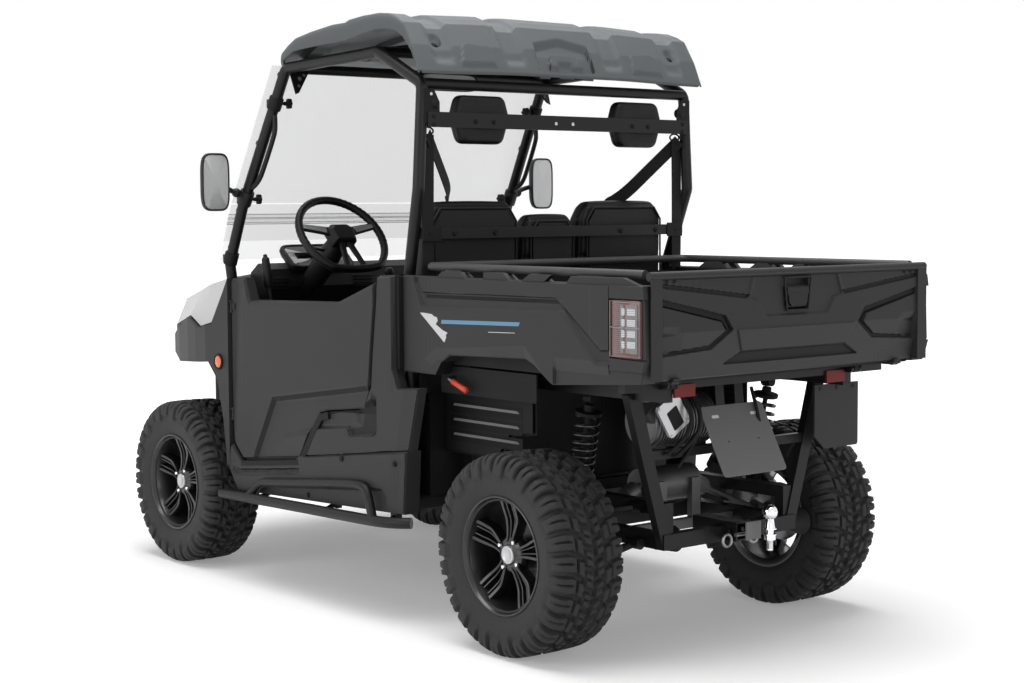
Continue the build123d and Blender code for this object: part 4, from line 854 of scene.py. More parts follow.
# %% A padded block with crowned faces and sewn channels
def padded_block(low, high, swell, corner, channels, step=0.008):
    """A closed box between two corners with crowned faces.

    Each point's place inside the box runs from -1 to 1 on every axis. Edges are rounded by
    corner; each face then moves out by swell times the product of (1 - p^2) over the other
    two axes, to a power, so the form is full in the middle and pulled in at its corners.
    channels are (axis faced, axis crossed, place in metres, depth) of sewn grooves.
    """
    low, high = np.asarray(low, float), np.asarray(high, float)
    middle, half = (low + high) / 2, (high - low) / 2
    sheets = []
    for axis in range(3):
        u_axis, v_axis = (axis + 1) % 3, (axis + 2) % 3
        nu = max(6, int(2 * half[u_axis] / step))
        nv = max(6, int(2 * half[v_axis] / step))
        u = -np.cos(np.linspace(0, math.pi, nu)) * 0.35 + np.linspace(-1, 1, nu) * 0.65
        v = -np.cos(np.linspace(0, math.pi, nv)) * 0.35 + np.linspace(-1, 1, nv) * 0.65
        uu, vv = np.meshgrid(u, v, indexing="ij")
        for sign in (-1, 1):
            p = np.zeros((nu, nv, 3))
            p[..., axis], p[..., u_axis], p[..., v_axis] = sign, uu, vv
            sheets.append(((p * half).reshape(-1, 3), grid_faces(nu, nv)))
    points, faces = join(*sheets)
    core = np.clip(points, -(half - corner), half - corner)
    away = points - core
    reach = np.linalg.norm(away, axis=1, keepdims=True)
    direction = away / np.maximum(reach, 1e-9)
    rounded = core + direction * corner
    share = points / half
    falls = np.clip(1 - share ** 2, 0, 1) ** 0.42
    push = np.stack([falls[:, 1] * falls[:, 2], falls[:, 0] * falls[:, 2], falls[:, 0] * falls[:, 1]], 1)
    swollen = rounded + direction * (np.abs(direction) * push * np.asarray(swell)).sum(1, keepdims=True)
    for axis, crossed, place, depth in channels:
        gap = np.abs(swollen[:, crossed] + middle[crossed] - place)
        groove = np.exp(-((gap / 0.006) ** 2)) + 0.35 * np.exp(-((gap / 0.020) ** 2))
        swollen[:, axis] -= direction[:, axis] * depth * groove
    return swollen + middle, faces


def bent(sheet, change):
    """A sheet with its points changed by a function of them."""
    points, faces = sheet
    return change(points), faces


def piping(path):
    """A welt: a thin round cord sewn into a seam, carried round a closed path."""
    return carried(circle(0.0035, 8), path, loop=True)


def split_ring(ring, step, least):
    """A closed outline with its sides split into equal runs of about a step, at least so many."""
    points = []
    for here, there in zip(ring, np.roll(ring, -1, 0)):
        runs = max(least, int(np.linalg.norm(there - here) / step))
        points += [here + (there - here) * k / runs for k in range(runs)]
    return np.asarray(points)


def ring_path(low, high, corner, level):
    """A closed rectangle with round corners, laid flat at one height."""
    (a0, b0), (a1, b1) = low, high
    path = []
    for centre_a, centre_b, start in (
        (a1 - corner, b1 - corner, 0.0), (a0 + corner, b1 - corner, 0.5),
        (a0 + corner, b0 + corner, 1.0), (a1 - corner, b0 + corner, 1.5),
    ):
        for t in np.linspace(0, 0.5, 10):
            turn = (start + t) * math.pi
            path.append((centre_a + corner * math.cos(turn), centre_b + corner * math.sin(turn)))
    return np.insert(split_ring(np.asarray(path), 0.02, 1), 2, level, axis=1)


# %% [markdown]
# A cushion sits on the seat base, so only its underside is flat. Its top has a long sewn
# panel line a hand's width from the front and two cross channels.

# %% Seat cushions
cushion_rows = (("left", 0.144, 0.570), ("middle", -0.126, 0.126), ("right", -0.570, -0.144))
for label, x_low, x_high in cushion_rows:
    lines = ((2, 1, -0.045, 0.006), (2, 1, 0.085, 0.006), (2, 1, 0.215, 0.006))
    pad = padded_block((x_low, -0.130, 0.762), (x_high, 0.326, 0.858), (0.004, 0.008, 0.020), 0.030, lines)
    welt = piping(ring_path((x_low + 0.006, -0.130 + 0.004), (x_high - 0.006, 0.322), 0.035, 0.846))
    cushion = piece(f"cushion_{label}", join(pad, welt), "seat_vinyl", crease=60)
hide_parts("seat_cushions")

# %% [markdown]
# Each back has a raised front panel with a welt round it, a top that curves back, and on
# the rear a flatter panel inside a moulded edge: two lines show round the top of it. Its
# outer top corners are cut off at a slant.

# %% Seat backs
def back_form(x_low, x_high, top):
    """The padded block of a back, leant back and with its two upper corners cut in."""
    foot, corner_share = 0.880, 0.11
    sheet = padded_block((x_low, 0.245, foot), (x_high, 0.371, top - 0.003), (0.004, 0.010, 0.008), 0.026,
                         ((1, 2, 1.085, 0.006), (1, 2, 1.255, 0.006)), step=0.007)

    def lean(points):
        """Shifts the back rearwards with height and narrows its top corners."""
        out = points.copy()
        rise = np.clip((points[:, 2] - foot) / (top - foot), 0, 1)
        front_half = ramp(-(points[:, 1] - 0.320), -0.04, 0.05)
        out[:, 1] += rise * 0.058 * front_half + rise ** 2 * 0.008
        centre = (x_low + x_high) / 2
        half = (x_high - x_low) / 2
        side = (points[:, 0] - centre) / half
        cut = np.clip((rise - (1 - corner_share)) / corner_share, 0, 1)
        out[:, 0] = centre + side * half * (1 - 0.17 * cut * np.abs(side) ** 1.5)
        return out

    return bent(sheet, lean)


def rear_panel(x_low, x_high, top):
    """The moulded rear shell's raised field and its outline bead, standing 4 mm proud."""
    y = 0.3905
    field = ((x_low + 0.030, 1.000), (x_high - 0.030, 1.000), (x_high - 0.030, top - 0.075),
             (x_high - 0.062, top - 0.030), (x_low + 0.062, top - 0.030), (x_low + 0.030, top - 0.075))
    slab = rear_plate(field, (0, y - 0.012, 0), 0.014)
    ring = np.array([(x + 0.010 * np.sign(x - (x_low + x_high) / 2), y, z + (0.009 if z > 1.2 else 0))
                     for x, z in split_ring(np.asarray(field), 0.03, 2)])
    bead = carried(circle(0.004, 8), ring, loop=True, tilt=(0, 1, 0))
    return join(slab, bead)


backs = (("left", 0.150, 0.564, 1.458), ("middle", -0.122, 0.122, 1.410), ("right", -0.564, -0.150, 1.458))
for label, x_low, x_high, top in backs:
    back = piece(f"back_{label}", back_form(x_low, x_high, top), "seat_vinyl", crease=60)
    piece(f"back_shell_{label}", rear_panel(x_low, x_high, top), "black_plastic",
          bevel=0.002)
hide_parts("seat_backs")

# %% [markdown]
# The headrests are rounded trapezoids of foam in vinyl, fuller towards the driver, on a
# flat steel bar. A padded form with a six-sided outline: the outline is shrunk and set
# back in rings from the rim to the middle of each face, so both faces crown.

# %% Headrests
def headrest(centre_x):
    """Rings of a rounded outline: the rim seam, then rings that step in and out to a crown."""
    corners = np.array(((-0.100, 0.084), (0.100, 0.084), (0.124, 0.010), (0.092, -0.084),
                        (-0.092, -0.084), (-0.124, 0.010)))
    outline = []
    count = len(corners)
    for i in range(count):
        before, here, after = corners[i - 1], corners[i], corners[(i + 1) % count]
        cut = 0.024
        start = here + (before - here) / np.linalg.norm(before - here) * cut
        end = here + (after - here) / np.linalg.norm(after - here) * cut
        for t in np.linspace(0, 1, 7):
            outline.append((1 - t) ** 2 * start + 2 * t * (1 - t) * here + t * t * end)
        run = (after - here) / np.linalg.norm(after - here)
        gap = np.linalg.norm(after - here) - 2 * cut
        outline += [end + run * gap * t for t in np.linspace(0, 1, 7)[1:-1]]
    outline = np.asarray(outline)
    rings = []
    # columns: share of the outline, depth from the rear face
    for share, y in ((0.04, 0.0035), (0.30, 0.003), (0.60, 0.001), (0.80, -0.0005), (0.90, 0.001), (0.955, 0.005),
                     (0.985, 0.011), (1.0, 0.018), (1.0, 0.0235), (0.990, 0.0255), (1.0, 0.0275), (0.998, 0.035),
                     (0.985, 0.042), (0.95, 0.049), (0.88, 0.0545), (0.74, 0.058), (0.5, 0.0605), (0.25, 0.0615),
                     (0.04, 0.062)):
        rings.append(np.stack([outline[:, 0] * share + centre_x, np.full(len(outline), 0.4575 - y),
                               outline[:, 1] * share + 1.744], -1))
    return stacked(rings)


for label, centre_x in (("left", 0.370), ("right", -0.370)):
    rest = piece(f"headrest_{label}", headrest(centre_x), "seat_vinyl", crease=50)
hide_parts("headrests")

# %% [markdown]
# The belts hang from a ring on each rear pillar: a flat woven band comes down across the
# outer edge of the seat back, and the buckle stands up on a stalk at the middle seat.

# %% Seat belts
def strip_profile(half_width, half_thickness):
    """The four corners of a flat strip's section."""
    a, b = half_width, half_thickness
    return np.array(((-a, -b), (a, -b), (a, b), (-a, b)))


def smooth_path(points, count=24):
    """A path through points, rounded by quadratic pieces between their midpoints."""
    points = np.asarray(points, float)
    path = [points[0]]
    for i in range(1, len(points) - 1):
        start = (points[i - 1] + points[i]) / 2 if i > 1 else points[0]
        end = (points[i] + points[i + 1]) / 2 if i < len(points) - 2 else points[-1]
        for t in np.linspace(0, 1, count)[1:]:
            path.append((1 - t) ** 2 * start + 2 * t * (1 - t) * points[i] + t * t * end)
    return np.asarray(path)


belt_path = smooth_path(((0.598, 0.440, 1.690), (0.500, 0.380, 1.580), (0.410, 0.322, 1.476), (0.386, 0.236, 1.440),
                         (0.400, 0.208, 1.300), (0.460, 0.196, 1.000), (0.560, 0.150, 0.860), (0.590, 0.120, 0.740)))
rear_fall = smooth_path(((0.590, 0.430, 1.690), (0.594, 0.432, 1.40), (0.596, 0.420, 1.05), (0.596, 0.410, 0.80)))
ring_half = 0.024
loop_path = [(0.588 + ring_half * math.cos(a), 0.424, 1.702 + 0.013 * math.sin(a))
             for a in np.linspace(0, 2 * math.pi, 24, endpoint=False)]
belt_ring = carried(circle(0.0035, 8), loop_path, loop=True, tilt=(0, 1, 0))
buckle_stalk = carried(circle(0.006, 10), smooth_path(((0.110, 0.262, 0.84), (0.132, 0.232, 0.90),
                                                       (0.140, 0.205, 0.955))))
buckle_box = plate(((-0.016, -0.030), (0.016, -0.030), (0.019, 0.028), (0.012, 0.036), (-0.012, 0.036),
                    (-0.019, 0.028)), (0.143, 0.198, 0.985), (1, 0, 0), (0, -0.25, 0.97), (0, 0.020, 0.005))
belts = join(*(carried(strip_profile(0.0235, 0.0016), path, tilt=facing)
               for path, facing in ((belt_path, (0, 0.9, 0.4)), (rear_fall, (0, 1, 0)))))
piece("belt_webbing", both(belts), "webbing", slot="seat_cover", crease=50)
piece("belt_fittings", both(join(belt_ring, buckle_stalk, buckle_box)), "black_plastic",
      bevel=0.001)

# %% [markdown]
# ## Cargo bed
# The tailgate is a pressed panel with a crease across it. Shallow fields, a latch pocket,
# a long slot to each side, two deep wings with a faceted form in each, and a wide hollow
# at the foot are worked into it. It is a height over (x, z), so it is a height field
# again: each field is a many-sided outline whose inside distance gives a bevel.

# %% Relief from outlines
def inside_distance(x, z, outline):
    """Signed distance from an outline of any shape: positive inside, by crossing count."""
    outline = np.asarray(outline, float)
    nearest = np.full(np.shape(x), 1e9)
    crossings = np.zeros(np.shape(x), int)
    for (x0, z0), (x1, z1) in zip(outline, np.roll(outline, -1, 0)):
        dx, dz = x1 - x0, z1 - z0
        t = np.clip(((x - x0) * dx + (z - z0) * dz) / (dx * dx + dz * dz), 0, 1)
        nearest = np.minimum(nearest, np.hypot(x - x0 - t * dx, z - z0 - t * dz))
        if z0 != z1:
            crosses = ((z0 > z) != (z1 > z)) & (x < (x1 - x0) * (z - z0) / (z1 - z0) + x0)
            crossings += crosses
    return np.where(crossings % 2 == 1, nearest, -nearest)


def relief_sheet(u, v, height, place, back):
    """A closed slab: a front of place(u, v, height), a back at the depths back(u, v)."""
    uu, vv = np.meshgrid(u, v, indexing="ij")
    return closed_slab(place(uu, vv, height(uu, vv)), place(uu, vv, back(uu, vv)))


def fine_steps(low, high, step, keep=()):
    """Evenly spaced values with the kept ones put in."""
    return np.unique(np.round(np.concatenate([np.linspace(low, high, int((high - low) / step) + 1), keep]), 6))


# %% [markdown]
# The tailgate's forms, in metres as (x, z) from the middle of the vehicle and the ground,
# each drawn for one side and used on both. The panel has a crease across it: above the
# crease it stands upright, below it turns in towards the road. The arms between the slots
# and the wings are its highest part; the wings are deep, with a faceted form in each.

# %% Tailgate outside
gate_crease, gate_plane = 1.064, 1.572
gate_centre = ((-0.188, 1.232), (0.188, 1.232), (0.216, 1.158), (0.176, 1.148), (0.143, 1.099), (-0.143, 1.099),
               (-0.176, 1.148), (-0.216, 1.158))
gate_upper = ((0.200, 1.228), (0.600, 1.228), (0.600, 1.209), (0.222, 1.163))
gate_slot = ((0.216, 1.169), (0.226, 1.157), (0.560, 1.197), (0.600, 1.203), (0.600, 1.212), (0.560, 1.210))
gate_wing = ((0.594, 1.168), (0.325, 1.110), (0.290, 1.064), (0.375, 1.007), (0.594, 0.993))
gate_wing_form = ((0.640, 1.160), (0.594, 1.150), (0.338, 1.094), (0.315, 1.062), (0.384, 1.016), (0.594, 1.000),
                  (0.640, 1.000))
gate_field = ((-0.278, 1.066), (0.278, 1.066), (0.246, 0.993), (-0.246, 0.993))
gate_hollow = ((-0.246, 0.993), (0.246, 0.993), (0.318, 0.957), (-0.318, 0.957))
gate_pocket = ((-0.060, 1.216), (0.060, 1.216), (0.048, 1.115), (-0.048, 1.115))


def inside_share(x, z, outline, slope):
    """0 outside an outline, 1 inside it beyond a slope of this width."""
    return np.clip(inside_distance(x, z, outline) / slope, 0, 1)


def gate_height(x, z):
    """The creased panel with its fields raised and its wings, slots and hollow cut in."""
    a = np.abs(x)
    height = 0.0120 - 0.21 * np.clip(gate_crease - z, 0, 1) - 0.02 * np.clip(z - gate_crease, 0, 1)
    height = height + 0.0050 * inside_share(x, z, gate_field, 0.004)
    height = height - 0.0090 * inside_share(x, z, gate_hollow, 0.004)
    height = height - 0.0060 * inside_share(x, z, gate_centre, 0.004)
    height = height - 0.0030 * inside_share(a, z, gate_upper, 0.004) - 0.0120 * inside_share(a, z, gate_slot, 0.003)
    form = 0.0100 - 0.24 * np.clip(gate_crease - z, 0, 1) - 0.030 * np.clip(z - gate_crease, 0, 1)
    form = form - 0.16 * np.clip(a - 0.500, 0, 1) * np.clip((gate_crease + 0.02 - z) / 0.03, 0, 1)
    wing = inside_share(a, z, gate_wing, 0.005)
    height = height * (1 - wing) - 0.0130 * wing
    shape = inside_share(a, z, gate_wing_form, 0.004) * wing
    height = height * (1 - shape) + form * shape
    height = height - 0.018 * inside_share(x, z, gate_pocket, 0.003)
    height = np.where(z > 1.226, np.maximum(height, 0.004 * ramp(z, 1.228, 1.234)), height)
    return np.where(a > 0.594, 0.0150, np.maximum(height, -0.0195))


gate_sheet = relief_sheet(
    fine_steps(-0.640, 0.640, 0.0042, [-0.5945, -0.594, 0.594, 0.5945]), fine_steps(0.9245, 1.232, 0.0032), gate_height,
    lambda x, z, h: np.stack([x, gate_plane + h, z], -1), lambda x, z: np.where(np.abs(x) > 0.5942, 0.0115, -0.0235),
)
piece("tailgate_face", gate_sheet, "body_grey_plastic", "tailgate", hides=("tailgate",), crease=32)

# %% [markdown]
# A dark lever stands in the latch pocket with a rim round it. The top edge is a round bar
# with two bolts near each end, the hinges are at the foot and a lining closes the inside.
# Black strips laid in the grooves round the wings and in the slots, and a dark plate on the
# floor of the hollow, are painted shade. These are small plates, strips and turned bolts laid
# on the panel.

# %% Tailgate fittings
def bolt_head(place, axis, radius, height):
    """A flanged bolt: washer, round head and a shallow dish in its top."""
    r = radius
    profile = ((-0.001, 0), (-0.001, r * 1.55), (0.0012, r * 1.5), (0.0015, r), (height, r * 0.96),
               (height + 0.0006, r * 0.82), (height, r * 0.55), (height * 0.8, 0.0005), (height * 0.8, 0))
    return turned(profile, place, axis, 12)


gate_top_bar = carried(circle(0.0140, 20), [(x, 1.5755, 1.2355) for x in (-0.638, 0.0, 0.638)])
gate_end_bolts = [bolt_head((x, 1.5800, 1.2195), (0, 1, 0), 0.0045, 0.004) for x in (0.535, 0.566)]
hinge_profile = ((0.500, 0.0052), (0.500, 0.0090), (0.530, 0.0090), (0.530, 0.0052))
gate_hinges = [turned(hinge_profile, (0, 1.552, 0.915), (1, 0, 0), 24),
               brick((0.500, 1.556, 0.9195), (0.530, 1.568, 0.9260))]
gate_lining = brick((-0.588, 1.5465, 0.9245), (0.588, 1.5490, 1.2250))
piece("tailgate_top", join(gate_top_bar, gate_lining, both(join(*gate_end_bolts, *gate_hinges))), "body_grey_plastic",
      "tailgate")
# black strips along the wing grooves and the slots: painted shade
wing_shade_line = ((0.592, 1.5730, 1.1590), (0.332, 1.5730, 1.1030), (0.3030, 1.5725, 1.0640), (0.3790, 1.5650, 1.0120),
            (0.500, 1.5620, 1.0040), (0.592, 1.5540, 0.9980))
slot_shade_line = ((0.228, 1.5745, 1.1640), (0.560, 1.5745, 1.2035), (0.592, 1.5745, 1.2075))
gate_shade_strips = [carried(strip_profile(half, 0.0010), middle, tilt=(0, 1, 0))
             for half, middle in ((0.0085, wing_shade_line), (0.0058, slot_shade_line))]
piece("tailgate_shade_strips", both(join(*gate_shade_strips)), "dull_black", "tailgate")
# a dark plate on the floor of the hollow: painted shade
hollow_shade_plate = plate(((-0.238, 0.9890), (0.238, 0.9890), (0.300, 0.9600), (-0.300, 0.9600)), (0, 1.3513, 0), (1, 0, 0),
                     (0, 0.21, 1), (0, 0.0014, 0))
piece("tailgate_hollow_shade", hollow_shade_plate, "edge_plastic", "tailgate")
latch_frame = np.array([(x * 1.03, 1.5835, (z - 1.165) * 1.03 + 1.165) for x, z in gate_pocket])
latch_rim = carried(circle(0.0035, 8), split_ring(latch_frame, 1.0, 6), loop=True, tilt=(0, 1, 0))
lever_profile = ((-0.046, 1.168), (0.046, 1.168), (0.042, 1.138), (0.030, 1.126), (-0.030, 1.126), (-0.042, 1.138))
latch_lever = rear_plate(lever_profile, (0, 1.578, 0), 0.009)
piece("tailgate_latch", join(latch_rim, latch_lever), "black_plastic", "tailgate", bevel=0.0015)

# %% [markdown]
# The bed's sides are moulded panels: a main field with a broad bevel, an upper field set
# back from it, and a trough between the two that runs level from the front and then dives
# to the wheel arch. The relief is a height over (y, z) within the panel's own outline:
# rows run along y and z goes from the outline's lower to its upper edge, so the sheet
# keeps the arch's shape.

# %% Bed side relief
side_plane, side_back, mark_plane = 0.6505, 0.6485, 0.6658
bed_outline = np.array((
    (0.381, 0.880), (0.551, 0.880), (0.585, 0.925), (0.636, 0.950), (1.028, 0.963), (1.077, 0.944), (1.160, 0.890),
    (1.562, 0.917), (1.582, 0.986), (1.574, 1.208), (0.381, 1.208),
))
main_field = ((0.30, 1.30), (0.450, 1.30), (0.453, 1.190), (0.493, 1.112), (1.179, 1.125), (1.213, 1.132),
              (1.375, 0.976), (1.65, 0.992), (1.65, 0.80), (0.30, 0.80))
upper_field = ((0.455, 1.30), (0.456, 1.200), (0.482, 1.151), (1.179, 1.157), (1.386, 1.006), (1.65, 1.022),
               (1.65, 1.30))
trough = ((0.486, 1.151), (1.179, 1.157), (1.386, 1.004), (1.382, 0.998), (1.190, 1.142), (0.494, 1.135))
arch_turn = ((0.470, 0.80), (0.500, 0.930), (0.557, 0.966), (1.032, 1.003), (1.168, 0.880), (1.200, 0.80))


def edge_columns(y, outline):
    """For each y the lowest and highest z of the outline."""
    low, high = np.full(len(y), 1e9), np.full(len(y), -1e9)
    for (y0, z0), (y1, z1) in zip(outline, np.roll(outline, -1, 0)):
        if abs(y1 - y0) < 1e-9:
            continue
        t = (y - y0) / (y1 - y0)
        hit = (t >= -1e-9) & (t <= 1 + 1e-9)
        z = z0 + (z1 - z0) * t
        low = np.where(hit, np.minimum(low, z), low)
        high = np.where(hit, np.maximum(high, z), high)
    return low, high


def side_relief(y, z):
    """The two fields over a lower step, the trough cut through it, the arch edge turned in."""
    height = 0.0040 + 0.0115 * inside_share(y, z, main_field, 0.014)
    height = np.maximum(height, 0.0105 * inside_share(y, z, upper_field, 0.004) + 0.002 * ramp(y, 1.336, 1.342))
    height = height - 0.0040 * inside_share(y, z, trough, 0.003)
    height = height - 0.0100 * inside_share(y, z, arch_turn, 0.045)
    height = height - 0.0110 * np.clip((0.975 - z) / 0.055, 0, 1) * ramp(y, 1.170, 1.180)
    return np.maximum(height, 0.0003)


def bed_side_sheet(y_low, y_high):
    """Rows along y; z from the lower to the upper outline at each; a flat back inside."""
    y = fine_steps(y_low, y_high, 0.0055, [0.551, 0.585, 0.636, 1.028, 1.077, 1.160])
    low, high = edge_columns(y, bed_outline)
    zz = low[:, None] + (high - low)[:, None] * np.linspace(0, 1, 110)[None, :]
    yy = np.broadcast_to(y[:, None], zz.shape)
    h = side_relief(yy, zz)
    h[:, 0] = h[:, -1] = 0.001
    return closed_slab(np.stack([side_plane + h, yy, zz], -1), np.stack([np.full(zz.shape, side_back), yy, zz], -1))


# a dark strip along the trough: painted shade
trough_outline = ((0.490, 1.1495), (1.1795, 1.1555), (1.3830, 1.0045), (1.3815, 0.9995), (1.1880, 1.1430),
                  (0.497, 1.1365))
trough_shade_strip = side_plate(trough_outline, 0.6500, 0.0012)
piece("bed_side_skins", both(bed_side_sheet(0.3815, 1.4235)), "body_grey_plastic", "cargo_bed", crease=32)
piece("bed_side_trough_shade", both(trough_shade_strip), "dull_black", "cargo_bed")

# %% [markdown]
# Round the tail lamp the panel closes again behind it: a frame above, below and at its
# rear edge. The lamp is a red shell with a ridge down its middle, a clear window with two
# columns of four blocks, and a pale bead round it.

# %% Rear corner and tail lamps
lamp_frame = [side_plate(outline, 0.645, thick) for thick, outline in (
    (0.017, ((1.4235, 1.168), (1.580, 1.168), (1.574, 1.208), (1.4235, 1.208))),
    (0.016, ((1.4235, 0.950), (1.5705, 0.950), (1.5815, 0.986), (1.4235, 0.989))),
    (0.011, ((1.4235, 0.9085), (1.5600, 0.9175), (1.5705, 0.950), (1.4235, 0.950))),
    (0.009, ((1.562, 0.990), (1.581, 0.990), (1.5745, 1.168), (1.562, 1.168))),
)]
piece("bed_rear_corners", both(join(*lamp_frame)), "body_grey_plastic", "cargo_bed", bevel=0.0015)
lamp_section = ((1.4245, 0.6420), (1.4245, 0.6560), (1.4300, 0.6590), (1.4940, 0.6625), (1.5560, 0.6590),
                (1.5610, 0.6555), (1.5610, 0.6420))
lamp_rows = np.array([[(x, y, z) for y, x in lamp_section] for z in (0.9915, 0.9940, 1.1630, 1.1655)])
lamp_rows[[0, -1], 1:-1, 0] -= 0.003
blocks = [brick((0.6570, y_low, 1.021 + step * 0.0325), (x_high, y_high, 1.044 + step * 0.0325))
          for step in range(4) for y_low, y_high, x_high in ((1.480, 1.496, 0.6630), (1.504, 1.542, 0.6625))]
lamp_window = side_plate(((1.474, 1.008), (1.550, 1.006), (1.550, 1.153), (1.474, 1.151)), 0.6580, 0.0042)
bead_path = ((0.6605, 1.4290, 0.9955), (0.6630, 1.4940, 0.9990), (0.6605, 1.5570, 0.9955),
             (0.6605, 1.5570, 1.1620), (0.6630, 1.4940, 1.1580), (0.6605, 1.4290, 1.1620))
lamp_bead = carried(circle(0.0014, 6), bead_path, loop=True, tilt=(1, 0, 0))
lamp_line = carried(circle(0.0016, 6), ((0.6605, 1.4290, 1.0830), (0.6640, 1.4940, 1.0830), (0.6605, 1.5570, 1.0830)))
piece("tail_lamp_shells", both(stacked(lamp_rows)), "red_lamp", "cargo_bed", "lamp_red", hides=("tail_lamps",))
piece("tail_lamp_windows", both(lamp_window), "smoked_lens", "cargo_bed", "lamp_clear", bevel=0.001)
piece("tail_lamp_blocks", both(join(*blocks)), "white_lamp", "cargo_bed", "lamp_clear", bevel=0.002)
piece("tail_lamp_beads", both(join(lamp_bead, lamp_line)), "lamp_bead", "cargo_bed", None)

# %% [markdown]
# The mark on the side is paint: a torn silver wedge with a slim blue band and a fine pale
# line behind it, so it is three very thin plates.

# %% Side marks
wedge = ((0.478, 1.085), (0.500, 1.0855), (0.544, 1.083), (0.556, 1.076), (0.572, 1.074), (0.578, 1.062),
         (0.566, 1.050), (0.604, 1.032), (0.632, 1.024), (0.622, 1.017), (0.624, 1.008), (0.613, 0.991))
blue_band = ((0.600, 1.066), (1.012, 1.077), (1.004, 1.064), (0.596, 1.053))
fine_line = ((0.850, 1.0385), (0.985, 1.0425), (0.985, 1.0405), (0.850, 1.0365))
for name, outlines, paint in (("side_marks", (wedge, fine_line), "silver_paint"),
                              ("side_bands", (blue_band,), "blue_paint")):
    piece(name, both(join(*(side_plate(outline, mark_plane, 0.0006) for outline in outlines))), paint, "cargo_bed",
          None)

# %% [markdown]
# Tabs stand along the top of the bed's sides under the rail, over a rolled rim, and the
# bed's floor is ribbed.

# %% Tabs, rim and floor ribs
lug_outlines = (((0.560, 1.207), (0.588, 1.228), (0.692, 1.228), (0.715, 1.207)),
                ((0.812, 1.207), (0.812, 1.230), (0.915, 1.230), (0.945, 1.207)),
                ((1.003, 1.207), (1.045, 1.230), (1.150, 1.230), (1.118, 1.207)),
                ((1.222, 1.207), (1.245, 1.229), (1.480, 1.231), (1.560, 1.207)))
lugs = [side_plate(outline, 0.638, 0.018) for outline in lug_outlines]
rim_line = carried(circle(0.0050, 10), [(0.6515, y, 1.2050) for y in (0.384, 1.0, 1.572)])
piece("bed_lugs", both(join(rim_line, *lugs)), "body_grey_plastic", "cargo_bed", bevel=0.0012)
inner_ribs = [brick((x - 0.022, 0.470, 0.9175), (x + 0.022, 1.500, 0.9215)) for x in np.arange(-0.50, 0.51, 0.10)]
piece("bed_floor_ribs", join(*inner_ribs), "dull_black", "cargo_bed", bevel=0.002)

# %% [markdown]
# ## Cage fittings
# Round the plain tube of the cage stand the things bolted to it: a triangular gusset with
# three holes under each front roof corner, saddle clamps with hand knobs that hold the
# screen, and a second thin tube down the front pillar. A hole is a thin disc a hair above
# its plate, in a finish like what shows through the hole.

# %% Gussets, clamps and grab tubes
cage_line = {
    "knee": np.array((0.668, -0.772, 1.226)), "pillar": np.array((0.661, -0.680, 1.447)),
    "front_top": np.array((0.632, -0.400, 1.962)),
}


def along_pillar(height):
    """A point of the front pillar's centre line at a height, and the pillar's direction."""
    start, end = cage_line["pillar"], cage_line["front_top"]
    if height < start[2]:
        start, end = cage_line["knee"], cage_line["pillar"]
    share = (height - start[2]) / (end[2] - start[2])
    return start + (end - start) * share, (end - start) / np.linalg.norm(end - start)


def saddle(place, direction, length=0.050, radius=0.0255):
    """A clamp band round a tube, its edges eased."""
    end = length / 2
    profile = ((-end, radius - 0.008), (-end, radius), (-end + 0.003, radius + 0.002), (end - 0.003, radius + 0.002),
               (end, radius), (end, radius - 0.008))
    return turned(profile, place, direction, 28)


def knob(place, axis):
    """A lobed hand knob: a fluted disc on a short stem."""
    axis = np.asarray(axis, float) / np.linalg.norm(axis)
    u = np.cross(axis, (0.0, 0.0, 1.0))
    u /= np.linalg.norm(u)
    v = np.cross(axis, u)
    a = np.arange(48) * 2 * math.pi / 48
    lobes = 0.021 * (0.90 + 0.12 * np.cos(a * 6))
    around = np.cos(a)[:, None] * u + np.sin(a)[:, None] * v
    steps = ((-0.012, 0.38), (0.0, 0.42), (0.001, 0.92), (0.004, 1.0), (0.013, 0.98), (0.017, 0.85), (0.018, 0.45),
             (0.0195, 0.1))
    return stacked([np.asarray(place) + axis * out + lobes[:, None] * share * around for out, share in steps])


clamps = []
for height in (1.245, 1.475, 1.835):
    spot, direction = along_pillar(height)
    clamps.append(saddle(spot, direction))
    clamps.append(brick(spot + (-0.014, -0.040, -0.016), spot + (0.014, -0.012, 0.016)))
    if height > 1.3:
        clamps.append(knob(spot + (-0.048, 0.006, 0.0), (-1, 0.2, 0)))
        clamps.append(carried(circle(0.006, 10), (spot + (-0.020, 0.003, 0.0), spot + (-0.046, 0.006, 0.0))))
grab_spots = []
for height, away in ((1.530, 0.022), (1.560, 0.052), (1.640, 0.056), (1.735, 0.056), (1.765, 0.050), (1.800, 0.020)):
    spot, direction = along_pillar(height)
    normal = np.cross(direction, (1, 0, 0))
    normal /= np.linalg.norm(normal)
    grab_spots.append(spot + normal * away * np.sign(normal[1]))
grab_tube = carried(circle(0.0095, 12), smooth_path(grab_spots, 8), tilt=(1, 0, 0))
piece("pillar_clamps", both(join(*clamps)), "dull_black", bevel=0.0015)
piece("pillar_grab_tubes", both(grab_tube), "frame_paint")

gusset_outline = ((0.0, 0.0), (-0.070, 0.002), (-0.006, -0.084), (0.012, -0.092), (0.018, 0.0))
gusset = plate(gusset_outline, (0.612, -0.385, 1.948), (1, 0, 0), (0, -0.36, 0.93), (0, 0.004, 0.0015))
gusset_holes = [turned(((-0.0012, 0), (-0.0012, r), (0.0062, r), (0.0062, 0)),
                       (0.612 + x, -0.385 - 0.36 * z - 0.0005, 1.948 + 0.93 * z), (0, 0.93, 0.36), 16)
                for x, z, r in ((-0.042, -0.014, 0.006), (-0.020, -0.028, 0.008), (-0.010, -0.058, 0.006))]
piece("roof_gussets", both(gusset), "frame_paint", bevel=0.001)
piece("gusset_holes", both(join(*gusset_holes)), "bracket_paint", slot="frame_black")

# %% [markdown]
# The head bar and the seat bar are square tubes: end plates, bolts through them where the
# headrests and backs are held, and pairs of open holes between.

